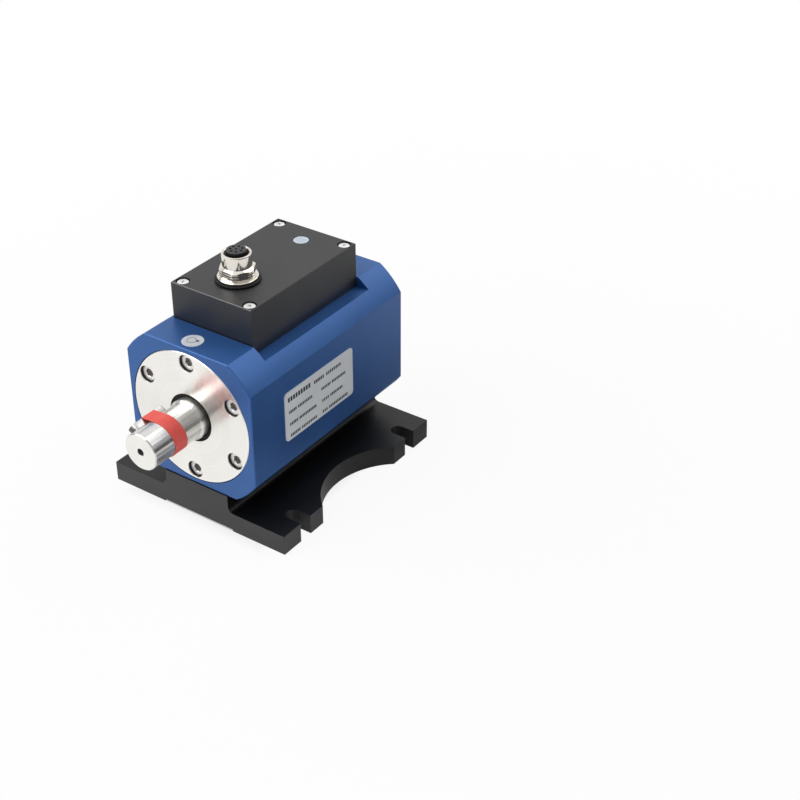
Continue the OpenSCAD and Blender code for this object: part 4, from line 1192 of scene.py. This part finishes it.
class SENSOR_OT_stage(bpy.types.Operator):
    """Sets the floor, the light and the camera"""

    bl_idname = "sensor.stage"
    bl_label = "Stage"

    def lay_floor(self, s):
        """A white floor, which keeps the shadow under and beside the base."""
        shadow_at, shade_at = Vector((0.09, 0.04, 0)), Vector((0.15, 0.08, 0))
        deselect()
        bpy.ops.mesh.primitive_plane_add(size=8.0, location=(0, 0, -0.05 * MM))
        floor = named("floor")
        f = Finish("floor_white", Roughness=0.8, Specular_IOR_Level=0.1)
        seen = f.node("ShaderNodeLightPath", {}).outputs
        camera = seen["Is Camera Ray"]
        shown = f.math("MAXIMUM", seen["Is Glossy Ray"], seen["Is Transmission Ray"])
        shown = f.math("MAXIMUM", camera, shown)
        # The white of the background reaches in to the shadow, which falls behind the right side
        away = f.vector("LENGTH", f.mapped(location=-shadow_at))
        white = f.spread(camera, 0.0, 1.0, f.spread(away, 0.05, 0.14), f.spread(away, 0.08, 0.5, s.veil, 1.0))
        # Under the base, between its cut-outs, and close to its foot the floor stays in shadow
        across, along, _ = f.split(f.place)
        off = f.math("MAXIMUM", f.math("SUBTRACT", f.math("ABSOLUTE", across), BASE_WAIST),
                     f.math("SUBTRACT", f.math("ABSOLUTE", along), BASE_END_Y))
        clear = f.math("ADD", f.spread(off, -1.2 * MM, 0.3 * MM, 0.0, 0.75),
                       f.spread(off, 0.3 * MM, 10 * MM, 0.0, 0.25))
        fade = f.math("MULTIPLY", shown, f.math("MINIMUM", white, clear))
        # Beside the right side the floor gives little light back, though the camera sees it white
        aside = f.vector("LENGTH", f.mapped(location=-shade_at))
        shade = f.math("MULTIPLY", f.spread(across, 0.056, 0.07), f.spread(aside, 0.105, 0.135, 1.0, 0.0))
        unseen = f.math("MULTIPLY", shade, f.spread(camera, 0.0, 1.0, 1.0, 0.0))
        f.feed(Base_Color=f.mix(unseen, s.floor, s.patch))
        glow = f.node("ShaderNodeEmission", {"Color": (1, 1, 1, 1), "Strength": 1.0}).outputs[0]
        both = f.node("ShaderNodeMixShader", {0: fade, 1: f.surface.outputs[0], 2: glow}).outputs[0]
        f.links.new(both, f.output.inputs["Surface"])
        floor.data.materials.append(f.material)

    def stand_flag(self, s):
        """A dark flag at the right, which only reflections show."""
        deselect()
        bpy.ops.mesh.primitive_plane_add(size=1.0, location=(s.flag_x, 0, s.flag_h / 2),
                                         rotation=(0, -math.pi / 2, 0))
        flag = named("flag")
        flag.scale = (s.flag_h, 1.3, 1.0)
        flag.visible_camera = flag.visible_diffuse = False
        f = Finish("flag_black", Roughness=0.9, Specular_IOR_Level=0.0)
        up = f.split(f.place)[0]
        f.feed(Base_Color=f.mix(f.spread(up, -0.1, 0.3), (0.02, 0.02, 0.02), (0.6, 0.6, 0.6)))
        flag.data.materials.append(f.material)

    def light_room(self, s, scene):
        """A white sweep behind and above, a darker room in front of it, and even light on everything."""
        gap_toward = (0.547, 0.688, 0.477)
        scene.world = bpy.data.worlds.new("studio")
        scene.world.use_nodes = True
        w = Patterns(scene.world.node_tree)
        seen = w.node("ShaderNodeLightPath", {}).outputs
        heading = w.node("ShaderNodeTexCoord", {}).outputs["Generated"]
        _, back, up = w.split(heading)
        sweep = w.math("MAXIMUM", w.spread(back, -0.4, 0.2, s.room, 1.0), w.spread(up, 0.4, 0.8, s.room, 1.0))
        # The sweep has a darker gap, behind on the right
        near = w.vector("DOT_PRODUCT", heading, gap_toward)
        sweep = w.math("MULTIPLY", sweep, w.spread(near, 0.9, 0.98, 1.0, s.gap))
        shown = w.math("MAXIMUM", seen["Is Camera Ray"], sweep)
        level = w.spread(seen["Is Diffuse Ray"], 0.0, 1.0, shown, s.sky)
        glow = w.node("ShaderNodeBackground", {"Color": (1, 1, 1, 1), "Strength": level}).outputs[0]
        w.node("ShaderNodeOutputWorld", {"Surface": glow})

    def hang_lamp(self, name, place, size, power):
        """A round lamp that looks at the middle of the sensor."""
        deselect()
        bpy.ops.object.light_add(type="AREA", location=place)
        lamp = bpy.context.object
        lamp.name = name
        lamp.data.shape, lamp.data.size, lamp.data.energy = "DISK", size, power
        lamp.rotation_euler = (Vector((0, 0, AXIS_Z)) - Vector(place)).to_track_quat("-Z", "Y").to_euler()

    def set_camera(self, s, scene):
        """The camera at its place, turned by its azimuth and elevation."""
        eye = bpy.data.cameras.new("camera")
        eye.lens, eye.sensor_width = s.lens, 36.0
        eye.clip_start, eye.clip_end = 0.01, 50.0
        camera = bpy.data.objects.new("camera", eye)
        scene.collection.objects.link(camera)
        camera.location = s.camera
        level = math.cos(s.elevation)
        ahead = -Vector((math.sin(s.azimuth) * level, -math.cos(s.azimuth) * level, math.sin(s.elevation)))
        camera.rotation_euler = ahead.to_track_quat("-Z", "Y").to_euler()
        scene.camera = camera

    def execute(self, context):
        scene = context.scene
        s = scene.sensor_stage
        scene.view_settings.view_transform = "Standard"
        self.lay_floor(s)
        self.stand_flag(s)
        self.light_room(s, scene)
        self.hang_lamp("key", (-0.9, -1.12, 1.42), 2.2, s.key)
        self.hang_lamp("fill", (0.5, 1.0, 1.25), 1.6, s.fill)
        self.set_camera(s, scene)
        return {"FINISHED"}


# Add-on

GROUPS = (("sensor_colours", SensorColours), ("sensor_screws", SensorScrews), ("sensor_socket", SensorSocket),
          ("sensor_shaft", SensorShaft), ("sensor_stage", SensorStage))
STEPS = (SENSOR_OT_base, SENSOR_OT_base_screws, SENSOR_OT_housing, SENSOR_OT_covers, SENSOR_OT_cover_screws,
         SENSOR_OT_bearings, SENSOR_OT_shaft, SENSOR_OT_tape, SENSOR_OT_signal_transfer, SENSOR_OT_signal_box,
         SENSOR_OT_box_screws, SENSOR_OT_socket, SENSOR_OT_window, SENSOR_OT_nameplate, SENSOR_OT_round_label,
         SENSOR_OT_stage)


class SENSOR_PT_pieces(bpy.types.Panel):
    """Lists the steps that dress the sensor"""

    bl_idname = "SENSOR_PT_pieces"
    bl_label = "Torque sensor"
    bl_space_type = "VIEW_3D"
    bl_region_type = "UI"
    bl_category = "Sensor"

    def draw(self, context):
        for step in STEPS:
            self.layout.operator(step.bl_idname)


CLASSES = tuple(group for _, group in GROUPS) + STEPS + (SENSOR_PT_pieces,)


def register():
    """Adds the classes and the settings."""
    for part in CLASSES:
        bpy.utils.register_class(part)
    for name, group in GROUPS:
        setattr(bpy.types.Scene, name, PointerProperty(type=group))


def unregister():
    """Takes the settings and the classes away again."""
    for name, _ in GROUPS:
        delattr(bpy.types.Scene, name)
    for part in reversed(CLASSES):
        bpy.utils.unregister_class(part)


def main():
    """Registers the add-on and makes every piece in order."""
    register()
    for step in STEPS:
        family, command = step.bl_idname.split(".")
        getattr(getattr(bpy.ops, family), command)()


if __name__ == "__main__":
    main()
